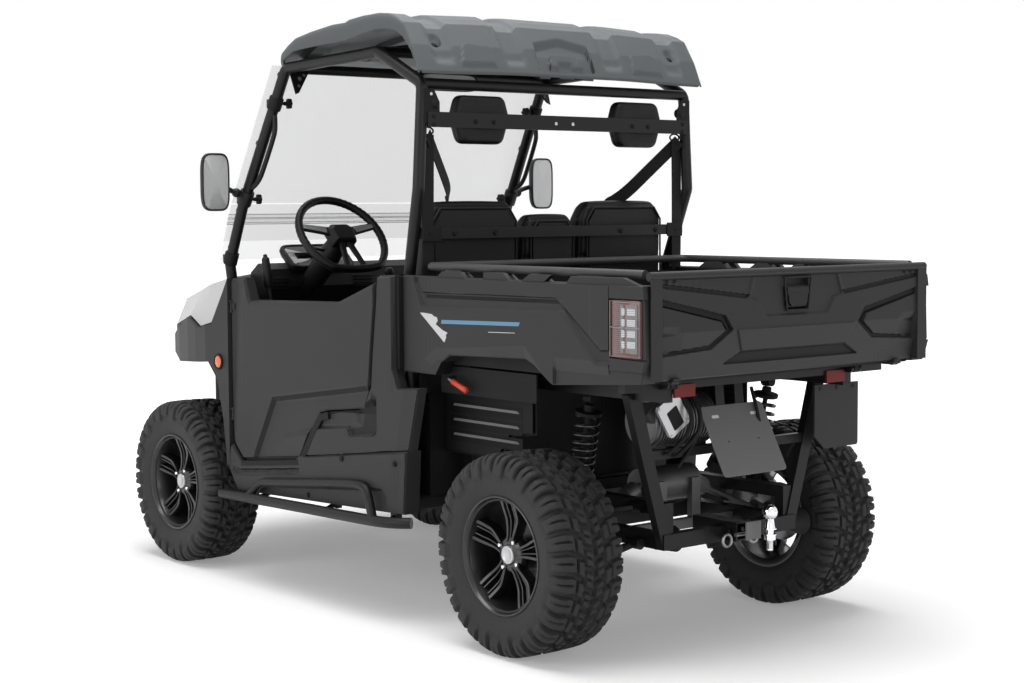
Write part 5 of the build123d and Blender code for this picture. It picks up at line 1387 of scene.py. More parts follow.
# %% Bar bolts and end plates
bar_bolts = [bolt_head((x, y, z), (0, 1, 0), radius, height) for x, y, z, radius, height in (
    (0.330, 0.4672, 1.738, 0.0065, 0.005), (0.410, 0.4672, 1.738, 0.0065, 0.005), (0.590, 0.4672, 1.752, 0.006, 0.004),
    (0.590, 0.4672, 1.722, 0.006, 0.004), (0.300, 0.4332, 1.352, 0.0075, 0.005), (0.480, 0.4332, 1.352, 0.0075, 0.005),
    (0.585, 0.4332, 1.352, 0.0075, 0.005),
)]
end_plate = rear_plate(((-0.036, -0.030), (0.030, -0.036), (0.030, 0.082), (-0.010, 0.086), (-0.036, 0.040)),
                       (0.600, 0.4585, 1.760), 0.005)
seat_plate = rear_plate(((-0.046, -0.026), (0.034, -0.026), (0.034, 0.026), (-0.046, 0.026)), (0.585, 0.4328, 1.352),
                        0.004)
swivels = turned(((-0.010, 0), (-0.010, 0.017), (0.0, 0.020), (0.010, 0.018), (0.016, 0.010), (0.017, 0)),
                 (0.585, 0.452, 1.792), (0, 1, 0), 24)
piece("bar_fittings", both(join(end_plate, seat_plate, swivels, *bar_bolts)), "dull_black", slot="frame_black",
      bevel=0.001)


def hole_disc(place, axis, radius, thick, count=16):
    """A thin disc that stands for an open hole."""
    return turned(((0, 0), (0, radius), (thick, radius), (thick, 0)), place, axis, count)


open_holes = [hole_disc((x, 0.4668, 1.738), (0, 1, 0), 0.0065, 0.0012) for x in (-0.035, 0.045)]
open_holes += [hole_disc((x, 0.4632, 1.826), (0, 1, 0), 0.0055, 0.0012) for x in (-0.600, 0.600)]
piece("bar_holes", join(*open_holes), "clear_hole", slot=None)

# %% [markdown]
# ## Springs and dampers
# Each corner has a coil over a damper: a rod, a body with a collar at each end of the
# spring, and two eyes. A coil is a circle carried along a screw line whose ends close up.

# %% Coil-over units
def coil_over(foot, head):
    """The spring, the damper body with its collars, and the two eyes, between two points."""
    body_radius, coil_radius, turns, wire = 0.024, 0.038, 8.5, 0.0048
    foot, head = np.asarray(foot, float), np.asarray(head, float)
    length = np.linalg.norm(head - foot)
    axis = (head - foot) / length
    u = np.cross(axis, (0, 1, 0))
    u /= np.linalg.norm(u)
    v = np.cross(axis, u)
    t = np.linspace(0, 1, int(turns * 22))
    rise = 0.16 + 0.68 * (t + 0.03 * np.sin(t * 2 * math.pi))
    angle = t * turns * 2 * math.pi
    path = foot + axis * (rise * length)[:, None] + coil_radius * (
        np.cos(angle)[:, None] * u + np.sin(angle)[:, None] * v)
    spring = carried(circle(wire, 8), path, tilt=axis)
    low = 0.10 * length
    body = turned(((0.07 * length, 0), (0.07 * length, 0.016), (low, 0.018), (low + 0.004, coil_radius + 0.006),
                   (low + 0.014, coil_radius + 0.007), (low + 0.018, body_radius), (0.50 * length, body_radius),
                   (0.51 * length, 0.0085), (0.84 * length, 0.0085), (0.845 * length, coil_radius + 0.005),
                   (0.875 * length, coil_radius + 0.006), (0.88 * length, 0.018), (0.94 * length, 0.016),
                   (0.94 * length, 0)), foot, axis, 32)
    eyes = join(*(turned(((-0.020, 0.0), (-0.020, 0.017), (0.020, 0.017), (0.020, 0.0)), place, (0, 1, 0), 24)
                  for place in (foot, head)))
    return spring, join(body, eyes)


springs, dampers = zip(coil_over((0.420, 1.000, 0.474), (0.420, 1.070, 0.822)),
                       coil_over((0.430, -1.120, 0.477), (0.322, -1.120, 0.776)))
piece("coil_springs", both(join(*springs)), "spring_steel", slot="frame_black", crease=60)
piece("dampers", both(join(*dampers)), "dull_black", slot="frame_black", hides=("shock_absorbers",))

# %% [markdown]
# ## Drive and hitch at the tail
# Between the frame's rear legs sits the drive: a finned drum, and a tilted box of
# electronics with a pale lid and a dark window in it. All of it is turned or flat.

# %% Drive unit
fin_profile = ((-0.0025, 0.060), (-0.0025, 0.086), (0.0025, 0.086), (0.0025, 0.060))
fins = [turned(fin_profile, (x, 1.215, 0.748), (1, 0, 0), 48) for x in np.arange(0.075, 0.325, 0.0125)]
drum_profile = ((0, 0), (0, 0.074), (0.012, 0.079), (0.262, 0.079), (0.274, 0.070), (0.274, 0.0))
drum = turned(drum_profile, (0.058, 1.215, 0.748), (1, 0, 0), 48)
piece("motor_drum", join(drum, *fins), "cast_metal", slot="cast_grey", crease=30)

tilt_turn = math.radians(32)
lid_across = np.array((math.cos(tilt_turn), 0, -math.sin(tilt_turn)))
lid_up = np.array((math.sin(tilt_turn), 0, math.cos(tilt_turn)))
lid_centre = np.array((0.285, 1.3065, 0.778))


def cut_rectangle(a, b, cut):
    """A rectangle of two half sizes with its corners cut off."""
    return ((-a + cut, -b), (a - cut, -b), (a, -b + cut), (a, b - cut), (a - cut, b), (-a + cut, b), (-a, b - cut),
            (-a, -b + cut))


lid = plate(cut_rectangle(0.052, 0.060, 0.010), lid_centre, lid_across, lid_up, (0, 0.012, 0))
window = plate(cut_rectangle(0.024, 0.034, 0.003), lid_centre + lid_up * -0.012 + (0, 0.0118, 0), lid_across, lid_up,
               (0, 0.0015, 0))
lid_screws = [bolt_head(lid_centre + lid_across * a * 0.044 + lid_up * b * 0.052 + (0, 0.012, 0), (0, 1, 0), 0.004,
                        0.003) for a in (-1, 1) for b in (-1, 1)]
piece("control_lid", join(lid, *lid_screws), "silver_paint", slot="cast_grey", bevel=0.0012)
piece("control_window", window, "dull_black", bevel=0.0004)


# %% [markdown]
# Cables loop down behind the drive, and the half shafts end in rubber boots with folds.

# %% Cables and axle boots
def cable(points, radius):
    """A round cable on a rounded path."""
    return carried(circle(radius, 10), smooth_path(points, 16))


drive_cables = join(
    cable(((0.250, 1.310, 0.840), (0.225, 1.345, 0.800), (0.240, 1.340, 0.700), (0.300, 1.300, 0.650)), 0.007),
    cable(((0.205, 1.300, 0.850), (0.190, 1.350, 0.790), (0.205, 1.350, 0.700), (0.260, 1.300, 0.640)), 0.007),
    cable(((0.175, 1.290, 0.850), (0.165, 1.330, 0.780), (0.180, 1.320, 0.690), (0.230, 1.280, 0.600)), 0.0055),
    cable(((-0.100, 1.290, 0.840), (-0.090, 1.330, 0.760), (-0.130, 1.310, 0.680), (-0.160, 1.280, 0.560)), 0.006),
)
piece("drive_cables", drive_cables, "dull_black")


def boot(start, end, wide, narrow):
    """A bellows boot: radius steps in and out along a line while it shrinks."""
    folds = 5
    start, end = np.asarray(start, float), np.asarray(end, float)
    length = np.linalg.norm(end - start)
    profile = [(0, 0), (0, wide)]
    for k in range(folds * 2):
        share = (k + 1) / (folds * 2 + 1)
        radius = wide + (narrow - wide) * share
        profile.append((share * length, radius * (0.80 if k % 2 == 0 else 1.0)))
    profile += [(length, narrow), (length, 0)]
    return turned(profile, start, end - start, 24)


boots = join(
    boot((0.150, 1.180, 0.345), (0.235, 1.180, 0.342), 0.045, 0.024),
    boot((0.470, 1.180, 0.332), (0.405, 1.180, 0.335), 0.048, 0.024),
)
piece("axle_boots", both(boots), "flap_rubber", crease=50)

# %% [markdown]
# The plate behind the axle leans with its foot to the rear: a rounded sheet with two slots
# and two small holes, left blank, on two arms. Beside it hangs the rubber mud flap with
# its bolts.

# %% Number plate bracket and mud flap
def rounded(half_a, half_b, corner):
    """A rectangle with round corners as one ring of points."""
    ring = []
    for sa, sb, start in ((1, 1, 0.0), (-1, 1, 0.5), (-1, -1, 1.0), (1, -1, 1.5)):
        for t in np.linspace(0, 0.5, 6):
            turn = (start + t) * math.pi
            ring.append((sa * (half_a - corner) + corner * math.cos(turn),
                         sb * (half_b - corner) + corner * math.sin(turn)))
    return np.asarray(ring)


plate_top, plate_bottom = np.array((0.0, 1.290, 0.785)), np.array((0.0, 1.405, 0.575))
plate_length = np.linalg.norm(plate_top - plate_bottom)
plate_up = (plate_top - plate_bottom) / plate_length
plate_out = np.cross(plate_up, (1, 0, 0))
plate_middle = (plate_top + plate_bottom) / 2


def on_plate(x, up, out):
    """A point of the leaning plate: across, up its slope and out from its middle."""
    return plate_middle + plate_up * up + plate_out * out + np.array((x, 0, 0))


blank = plate(rounded(0.147, plate_length / 2 + 0.004, 0.014), on_plate(0, 0, 0.001), (1, 0, 0), plate_up,
              plate_out * 0.0035)
plate_slots = [plate(rounded(0.016, 0.0055, 0.005), on_plate(x, 0.085, 0.0042), (1, 0, 0), plate_up, plate_out * 0.0006)
               for x in (-0.090, 0.090)]
plate_holes = [hole_disc(on_plate(x, -0.005, 0.0044), plate_out, 0.003, 0.0005, 12) for x in (-0.070, 0.070)]
piece("number_plate_blank", blank, "bracket_paint", slot="bracket_grey", hides=("plate_bracket",), bevel=0.0008)
piece("plate_slots", join(*plate_slots), "clear_hole", slot=None)
piece("plate_holes", join(*plate_holes), "dull_black", slot=None)
arm_outline = ((-0.020, -0.06), (0.020, -0.06), (0.020, 0.05), (-0.020, 0.05))
plate_arms = plate(arm_outline, (0.045, 1.282, 0.812), (1, 0, 0), (0, -0.1, 0.99), (0, 0.006, 0))
piece("plate_arms", both(plate_arms), "frame_paint", bevel=0.001)

flap_outline = ((0.342, 0.834), (0.342, 0.660), (0.392, 0.614), (0.560, 0.614), (0.566, 0.622), (0.566, 0.834))
flap = rear_plate(flap_outline, (0, 1.3505, 0), 0.006)
flap_bolts = [bolt_head((x, 1.3565, 0.818), (0, 1, 0), 0.006, 0.004) for x in (0.370, 0.455, 0.540)]
piece("mud_flap_face", mirrored(join(flap, *flap_bolts)), "flap_rubber", hides=("mud_flaps",), bevel=0.0015)

# %% [markdown]
# The hitch is a collar round the mouth of the receiver, a cross pin, two chain loops, and
# a chrome ball on a threaded shank: one profile turned about the upright axis.

# %% Tow ball, collar and pin
ball_profile = [(0.329, 0), (0.329, 0.0095), (0.331, 0.0105)]
for step in range(14):
    z = 0.333 + step * 0.0022
    ball_profile += [(z, 0.0105), (z + 0.0011, 0.0098)]
ball_profile += [(0.364, 0.0105), (0.364, 0.0185), (0.380, 0.0185), (0.380, 0.0215), (0.383, 0.0215), (0.383, 0.012),
                 (0.3985, 0.012), (0.3985, 0.0215), (0.402, 0.0215), (0.402, 0.0170), (0.412, 0.0150), (0.430, 0.0125)]
ball_profile += [(0.453 + 0.025 * math.cos(a), 0.025 * math.sin(a)) for a in np.linspace(2.62, 0, 20)]
piece("tow_ball", turned(ball_profile, (0, 1.470, 0), (0, 0, 1), 40), "bright_chrome",
      hides=("hitch_ball",), crease=50)
piece("receiver_collar", brick((-0.034, 1.392, 0.354), (0.034, 1.400, 0.414)), "bracket_paint", slot="frame_black",
      bevel=0.002)
pin = carried(circle(0.0065, 12), [(x, 1.372, 0.372) for x in (-0.052, 0.0, 0.058)])
chain_loops = [carried(circle(0.005, 8), np.insert(circle(0.020, 20) + (x, 0.350), 1, 1.339, axis=1), loop=True,
                       tilt=(0, 1, 0)) for x in (-0.062, 0.062)]
piece("hitch_pin", join(pin, *chain_loops), "turned_steel")

# %% [markdown]
# ## Roof structure seen from below
# Behind the front lip of the roof a bent tube runs back on each side: they carry the
# roof's front and show dark under its shadow. They are plain tubes on rounded paths.

# %% Under-roof tubes
under_path = ((0.600, -0.385, 1.975), (0.480, -0.330, 2.005), (0.330, -0.150, 2.028), (0.300, 0.060, 2.030))
piece("under_roof_tubes", both(carried(circle(0.014, 12), smooth_path(under_path, 10))), "dull_black",
      slot="frame_black")

# %% [markdown]
# ## Screen
# The folding screen is clear sheet with a soft upper edge, and two panes meet at a clear
# overlap strip that shows as a few fine lines. The strip of the solid model takes a
# finish of its own: clear, with thin bands at set heights along its slope.

# %% Overlap strip
def lined_strip(name, lines, low, high):
    """Clear strip whose clearness drops in thin bands at set heights."""
    made, shader, place = new_material(name)
    height = place.axis(2)
    mask = None
    for line in lines:
        near = (height - line).sum("ABSOLUTE", height - line) < 0.0011
        mask = near if mask is None else mask.sum("MAXIMUM", mask, near)
    haze = place.noise(5.0, 2.0)
    feed(shader, "Alpha", mask * (high - low) + haze * 0.02 + low)
    feed(shader, "Base Color", mask.blend((0.50, 0.51, 0.52, 1), (0.10, 0.10, 0.105, 1)))
    feed(shader, "Roughness", haze * 0.1 + 0.1)
    return made


strip_heights = [corner[2] for corner in nodes["windshield_band"].bound_box]
strip_low, strip_high = min(strip_heights), max(strip_heights)
strip_lines = [strip_low + (strip_high - strip_low) * share for share in (0.08, 0.22, 0.52, 0.62, 0.90)]
finishes["lined_strip"] = lined_strip("lined_strip", strip_lines, 0.12, 0.60)
nodes["windshield_band"].data.materials.clear()
nodes["windshield_band"].data.materials.append(finishes["lined_strip"])

# %% [markdown]
# ## Mirrors
# A side mirror is a rounded shell, taller than wide, with the glass set in a lip and a
# ball joint on an arm from the pillar clamp. The shell is a superellipse outline shrunk
# towards its back in steps, so it reads as one smooth moulding.

# %% Side mirrors
def superellipse(half_a, half_b, power=4.5, count=56):
    """A rounded rectangle: |a|^p + |b|^p = 1, stretched to the two half sizes."""
    t = np.arange(count) * 2 * math.pi / count
    c, s = np.cos(t), np.sin(t)
    return np.stack([np.sign(c) * np.abs(c) ** (2 / power) * half_a, np.sign(s) * np.abs(s) ** (2 / power) * half_b],
                    -1)


def shell(outline, place, across, up, steps):
    """Copies of an outline at (share, depth) steps, joined and closed at both ends."""
    place, across, up = (np.asarray(a, float) for a in (place, across, up))
    out = np.cross(across, up)
    return stacked([place + outline[:, :1] * share * across + outline[:, 1:] * share * up + out * depth
                    for share, depth in steps])


mirror_steps = ((0.10, -0.0010), (0.90, -0.0010), (0.915, 0.0), (0.93, 0.0008), (0.955, 0.0035), (0.985, 0.0040),
                (1.0, 0.001), (1.0, -0.010), (0.97, -0.020), (0.88, -0.030), (0.70, -0.0355), (0.40, -0.037),
                (0.05, -0.037))
mirror_outline = superellipse(0.058, 0.110)
# the glass faces along across x up, so across runs towards -X to make it face the rear
mirror_case = shell(mirror_outline, (0.810, -0.6245, 1.540), (-1, 0, 0), (0, 0, 1), mirror_steps)
mirror_arm = carried(circle(0.010, 14), smooth_path(((0.672, -0.652, 1.490), (0.700, -0.668, 1.500),
                                                     (0.745, -0.672, 1.520), (0.790, -0.655, 1.530)), 10))


def ball_shape(half_length, radius):
    """The profile of a ball, or of an egg longer or shorter than it is wide."""
    return [(half_length * -math.cos(a), radius * math.sin(a)) for a in np.linspace(0, math.pi, 14)]


arm_ball = turned(ball_shape(0.018, 0.018), (0.700, -0.662, 1.500), (1, 0.2, 0), 24)
arm_clamp = saddle(*along_pillar(1.480), 0.060, 0.0262)
piece("side_mirrors", both(join(mirror_case, mirror_arm, arm_ball, arm_clamp)), "black_plastic",
      hides=("mirrors",), crease=40)
mirror_glass = shell(superellipse(0.0525, 0.1035), (0.810, -0.6235, 1.540), (-1, 0, 0), (0, 0, 1),
                     ((0.05, 0.0004), (0.98, 0.0004), (1.0, -0.0006), (1.0, -0.0026), (0.05, -0.0026)))
piece("side_mirror_glasses", both(mirror_glass), "mirror_face", hides=("mirror_glasses",),
      crease=30)

# %% [markdown]
# The cabin mirror hangs from the front cross tube on a short stem: a wide, shallow shell
# with its glass towards the seats.

# %% Cabin mirror
cabin_steps = ((0.10, -0.0008), (0.93, -0.0008), (0.94, 0.0), (0.955, 0.003), (0.985, 0.0032), (1.0, 0.0),
               (1.0, -0.007), (0.96, -0.014), (0.80, -0.0185), (0.40, -0.0195), (0.05, -0.0195))
cabin_case = shell(superellipse(0.139, 0.0345, 5.0), (-0.015, -0.2430, 1.926), (-1, 0, 0), (0, 0, 1), cabin_steps)
stem_path = ((-0.010, -0.385, 1.950), (-0.010, -0.330, 1.936), (-0.010, -0.258, 1.926))
cabin_stem = carried(circle(0.0075, 12), smooth_path(stem_path, 8))
piece("cabin_mirror", join(cabin_case, cabin_stem), "black_plastic", crease=40)
cabin_glass = shell(superellipse(0.130, 0.0300, 5.0), (-0.015, -0.2422, 1.926), (-1, 0, 0), (0, 0, 1),
                    ((0.05, 0.0004), (0.98, 0.0004), (1.0, -0.0006), (1.0, -0.0022), (0.05, -0.0022)))
piece("cabin_mirror_glass", cabin_glass, "mirror_face")

# %% [markdown]
# ## Steering wheel
# The rim is leather-like, thick, with finger waves inside the grip zones and a flattened
# bottom. Two side spokes carry pale inserts, two narrow ones run down to the rim, and the
# hub is a six-sided pad. Everything is laid out in the wheel's own plane: across, up the
# rake, and out along the column.

# %% Wheel plane and rim
wheel_centre = np.array((0.370, -0.430, 1.330))
column_turn = math.radians(40)
column = np.array((0.0, math.cos(column_turn), math.sin(column_turn)))
wheel_across = np.array((1.0, 0.0, 0.0))
wheel_up = np.cross(wheel_across, column)


def on_wheel(a, b, out=0.0):
    """A point of the wheel's plane: a to the left side, b up the rake, out to the driver."""
    return wheel_centre + a * wheel_across + b * wheel_up + out * column


rim_radius, flat_below = 0.182, -0.150
rim_line, rim_shapes = [], []
for t in np.linspace(0, 2 * math.pi, 144, endpoint=False):
    a, b = rim_radius * math.sin(t), rim_radius * math.cos(t)
    if b < flat_below:
        b = flat_below + (b - flat_below) * 0.35
    rim_line.append(on_wheel(a, b))
    grip = bar_mask(abs(math.degrees(t if t < math.pi else 2 * math.pi - t)), 20, 100, 12)
    wave = 1 + 0.07 * math.cos(t * 54) * float(grip)
    rim_shapes.append(circle(0.0150, 16) * (1.0, 1.08) * wave)
rim_sheet = carried(np.asarray(rim_shapes), np.asarray(rim_line), loop=True, tilt=column)
hub_outline = np.array(((-0.062, 0.028), (-0.036, 0.052), (0.036, 0.052), (0.062, 0.028), (0.050, -0.034),
                        (-0.050, -0.034)))
hub_steps = ((0.05, 0.026), (0.72, 0.026), (0.80, 0.022), (0.86, 0.019), (1.0, 0.010), (1.0, -0.022), (0.70, -0.040),
             (0.05, -0.042))
hub_pad = stacked([np.array([on_wheel(a * share, b * share, out) for a, b in hub_outline]) for share, out in hub_steps])


def spoke(inner, outer, wide_in, wide_out, out_in, out_out, thick=0.011):
    """A flat arm between two points of the plane, narrowing outwards."""
    inner, outer = np.asarray(inner, float), np.asarray(outer, float)
    run = (outer - inner) / np.linalg.norm(outer - inner)
    side = np.array((-run[1], run[0]))
    corners = (inner + side * wide_in, outer + side * wide_out, outer - side * wide_out, inner - side * wide_in)
    outs = (out_in, out_out, out_out, out_in)
    top, low = ([on_wheel(a, b, o + rise) for (a, b), o in zip(corners, outs)] for rise in (thick / 2, -thick / 2))
    faces = [(0, 1, 2, 3), (4, 5, 6, 7), (0, 1, 5, 4), (1, 2, 6, 5), (2, 3, 7, 6), (3, 0, 4, 7)]
    return np.array(top + low), faces


spokes = [spoke((sa * 0.045, 0.020), (sa * 0.172, 0.048), 0.020, 0.014, 0.004, 0.0) for sa in (-1, 1)]
spokes += [spoke((sa * 0.016, -0.030), (sa * 0.040, -0.155), 0.013, 0.010, 0.002, 0.0) for sa in (-1, 1)]
inserts = [spoke((sa * 0.066, 0.024), (sa * 0.160, 0.046), 0.013, 0.008, 0.0105, 0.0065, 0.003) for sa in (-1, 1)]
piece("wheel_rim_grip", rim_sheet, "seat_vinyl", "steering_wheel", "black_plastic", hides=("steering_wheel",),
      crease=50)
piece("wheel_spokes", join(hub_pad, *spokes), "black_plastic", "steering_wheel", bevel=0.003)
piece("wheel_inserts", join(*inserts), "silver_paint", "steering_wheel", None, bevel=0.001)

# %% [markdown]
# ## Dash
# The dash is a dark moulding with a raised display behind the wheel: a hood round a flat
# glossy screen. Round it stand vents of four slats, a row of switches and a glove door.
# The display is an outlined shell, the rest are bars and a plate.

# %% Display, vents and switches
display_across, display_up = np.array((1.0, 0.0, 0.0)), np.array((0.0, -0.80, 0.60))
display_out = np.cross(display_up, display_across)
display_place = np.array((0.300, -0.722, 1.236))
display_hood = shell(superellipse(0.150, 0.072, 7.0, 48), display_place + display_out * 0.016, -display_across,
                     display_up, ((0.10, -0.002), (0.86, -0.002), (0.89, 0.0), (0.92, 0.004), (0.98, 0.004), (1.0, 0.0),
                                  (1.0, -0.016), (0.92, -0.034), (0.05, -0.036)))
piece("display_hood", display_hood, "black_plastic", crease=40)
display_screen = shell(superellipse(0.132, 0.060, 9.0, 48), display_place + display_out * 0.0155, -display_across,
                       display_up, ((0.05, 0.0008), (0.99, 0.0008), (1.0, 0.0), (1.0, -0.002), (0.05, -0.002)))
piece("display_screen", display_screen, "screen_glass", slot="black_plastic")
vents = [brick((x - 0.045, -0.685, 1.120 + k * 0.014), (x + 0.045, -0.676, 1.125 + k * 0.014))
         for x in (-0.46, -0.10, 0.10, 0.50) for k in range(4)]
switches = [brick((-0.030 + k * 0.032 - 0.013, -0.684, 1.060), (-0.030 + k * 0.032 + 0.011, -0.673, 1.092))
            for k in range(4)]
glove_door = rear_plate(rounded(0.150, 0.060, 0.016), (-0.350, -0.6815, 1.045), 0.006)
piece("dash_details", join(*vents, *switches, glove_door), "dull_black", bevel=0.002)

# %% [markdown]
# The parking brake handle and the gear lever stand on round stems, two pedals hang on
# arms, and a turned shroud with a stalk covers the steering column.

# %% Levers, pedals and column shroud
grip_profile = ((0, 0), (0, 0.011), (0.010, 0.0165), (0.075, 0.0175), (0.115, 0.015), (0.122, 0.008), (0.130, 0.008),
                (0.133, 0))
brake_grip = turned(grip_profile, (0.575, -0.640, 1.130), (0.05, -0.10, 1), 24)
brake_stem = carried(circle(0.008, 12), ((0.567, -0.625, 1.00), (0.575, -0.640, 1.135)))
gear_stem = carried(circle(0.006, 12), ((0.060, -0.600, 1.030), (0.060, -0.560, 1.165)))
gear_knob = turned(ball_shape(0.022, 0.019), (0.060, -0.555, 1.178), (0, 0.3, 1), 24)
pedal_places = (0.300, 0.430)
pedals = [plate(rounded(0.034, 0.045, 0.010), (x, -0.745, 0.600), (1, 0, 0), (0, -0.5, 0.87), (0, 0.009, 0.005))
          for x in pedal_places]
pedal_arms = [carried(circle(0.008, 10), ((x, -0.770, 0.640), (x, -0.800, 0.860))) for x in pedal_places]
piece("hand_levers", join(brake_grip, brake_stem, gear_stem, gear_knob), "black_plastic")
piece("pedals", join(*pedals, *pedal_arms), "dull_black", bevel=0.002)
shroud_profile = ((0.02, 0), (0.02, 0.030), (0.05, 0.040), (0.15, 0.048), (0.26, 0.044), (0.26, 0))
column_shroud = turned(shroud_profile, wheel_centre, -column, 28)
stalk = carried(circle(0.0055, 10), (wheel_centre - column * 0.09 + (0.03, 0, 0),
                                     wheel_centre - column * 0.075 + (0.125, 0, 0.01)))
piece("column_shroud", join(column_shroud, stalk), "black_plastic")

# %% [markdown]
# ## Doors and side panels
# Doors, the panels behind them and the sills are deep mouldings: a facet folded along
# the front edge, a large recess low in the door that runs into a hand hole in the panel
# behind, and a stepped tread along the sill. Each is a relief over (y, z) kept to its own
# outline: rows run along y, and z goes from the lower outline to the upper one.

# %% Relief kept to an outline
def outlined_relief(outline, relief, base_x, back_x, step=0.006, count=110):
    """A closed sheet over (y, z) inside an outline that any vertical line crosses twice.

    The front stands at base_x + relief(y, z), drawn down to base_x over the first 3 mm
    from the outline so that its edge looks rolled. The back is flat.
    """
    rim = 0.003
    outline = np.asarray(outline, float)
    low_y, high_y = outline[:, 0].min() + 1e-4, outline[:, 0].max() - 1e-4
    y = fine_steps(low_y, high_y, step, [k for k in outline[:, 0] if low_y < k < high_y])
    low, high = edge_columns(y, outline)
    zz = low[:, None] + (high - low)[:, None] * np.linspace(0, 1, count)[None, :]
    yy = np.broadcast_to(y[:, None], zz.shape)
    edge = np.clip(inside_distance(yy, zz, outline) / rim, 0, 1)
    h = relief(yy, zz) * ramp(edge, 0, 1) - rim * (1 - edge) ** 2
    return closed_slab(np.stack([base_x + h, yy, zz], -1), np.stack([np.full(zz.shape, back_x), yy, zz], -1))


# %% [markdown]
# A door is one relief with a thin dark strip laid along the recess under its fold: painted
# shade in the recess. What closes the gap round the door stays on the body: a seal along the
# door's line and a strip behind it. Black bands laid on the panel and the sill along the door's
# lower edge and its foot are a painted shadow of the gap.

# %% Door skins, recess shade, door seals and painted gap shadow
door_plane = 0.6905
door_edge = ((-0.719, 0.694), (-0.719, 1.167), (-0.618, 1.174), (-0.578, 1.088), (0.020, 1.103), (0.256, 1.181),
             (0.256, 1.120), (0.228, 0.909), (0.220, 0.820), (0.175, 0.736), (-0.055, 0.710), (-0.107, 0.698),
             (-0.169, 0.626), (-0.246, 0.518), (-0.632, 0.473), (-0.705, 0.537))
door_recess = ((-0.417, 0.731), (0.217, 0.820), (0.290, 0.800), (0.200, 0.650), (-0.239, 0.400), (-0.610, 0.400),
               (-0.568, 0.481))
door_foot = ((-0.359, 0.593), (-0.154, 0.634), (-0.100, 0.600), (-0.150, 0.400), (-0.620, 0.400), (-0.510, 0.486))
door_front_facet = ((-0.760, 1.250), (-0.600, 1.250), (-0.600, 1.130), (-0.622, 1.050), (-0.640, 0.820),
                    (-0.682, 0.540), (-0.640, 0.420), (-0.760, 0.420))


def door_relief(y, z):
    """A flat field; the front edge folds back, the recess drops 13 mm, its foot turns down."""
    front = np.clip(inside_distance(y, z, door_front_facet) / 0.075, 0, 1)
    recess = inside_share(y, z, door_recess, 0.022)
    foot = inside_share(y, z, door_foot, 0.016) * np.clip((z - 0.460) / 0.150, 0, 1)
    top_lip = 0.0045 * np.clip(1 - (door_top(y) - z) / 0.018, 0, 1)
    return 0.0140 - 0.0100 * front - 0.0130 * recess + 0.0075 * foot - top_lip


def door_top(y):
    """The height of the door's upper edge."""
    return np.interp(y, (-0.719, -0.618, -0.578, 0.020, 0.256), (1.167, 1.174, 1.088, 1.103, 1.181))


door_skin = outlined_relief(door_edge, door_relief, door_plane, 0.6885, step=0.005, count=140)


def door_pair(name, sheet, finish, slot, crease=35.0):
    """The left door's piece and its mirror image on the right door."""
    for side, half in (("left", sheet), ("right", mirrored(sheet))):
        piece(f"{name}_{side}", half, finish, f"door_{side}", slot, crease=crease)


door_pair("door_skin", door_skin, "body_grey_plastic", "body_grey", crease=28)


def laid_strip(path, low, high, relief, base_x):
    """A thin closed strip on a relief: along a (y, z) path, from low to high metres to its left."""
    path = np.asarray(path, float)
    ahead = np.gradient(path, axis=0)
    ahead /= np.linalg.norm(ahead, axis=1, keepdims=True)
    left = np.stack([-ahead[:, 1], ahead[:, 0]], 1)
    yz = path[:, None] + left[:, None] * np.linspace(low, high, 7)[None, :, None]
    y, z = yz[..., 0], yz[..., 1]
    x = base_x + relief(y, z)
    return closed_slab(np.stack([x + 0.0005, y, z], -1), np.stack([x - 0.0010, y, z], -1))


# the dark strip along the recess under the fold is painted shade
recess_line = np.concatenate([np.linspace((-0.553, 0.506), (-0.425, 0.718), 16),
                              np.linspace((-0.417, 0.731), (-0.400, 0.7334), 2),
                              np.linspace((-0.380, 0.7362), (0.204, 0.8182), 24)])
recess_shade = laid_strip(recess_line, -0.0190, -0.0020, door_relief, door_plane)
door_pair("door_shade", recess_shade, "edge_plastic", "black_plastic")

door_line = np.array(((0.2645, 1.183), (0.2645, 1.120), (0.2365, 0.908), (0.2285, 0.817), (0.1800, 0.728),
                      (-0.052, 0.7015), (-0.1025, 0.690), (-0.162, 0.620), (-0.240, 0.5105), (-0.633, 0.4650),
                      (-0.7105, 0.530)))
seal = carried(strip_profile(0.0025, 0.0060), np.insert(door_line, 0, 0.6790, axis=1), tilt=(1, 0, 0))
# black bands along the door's lower edge and foot: a painted shadow of the gap
shadow_band_profile = strip_profile(0.0135, 0.0062)
shadow_band = carried(shadow_band_profile, np.insert(door_line[5:9] + (0.0100, -0.0100), 0, 0.6960, axis=1), tilt=(1, 0, 0))
foot_shadow_band = carried(shadow_band_profile * (0.70, 1.0), ((0.7056, -0.232, 0.5000), (0.7056, -0.430, 0.4775),
                                                 (0.7056, -0.640, 0.4540)), tilt=(1, 0, 0))
rear_gap = brick((0.6450, 0.3630, 0.8860), (0.6830, 0.3800, 1.2050))
piece("door_seals_and_shadow_bands", both(join(seal, shadow_band, foot_shadow_band, rear_gap)), "dull_black", crease=30)
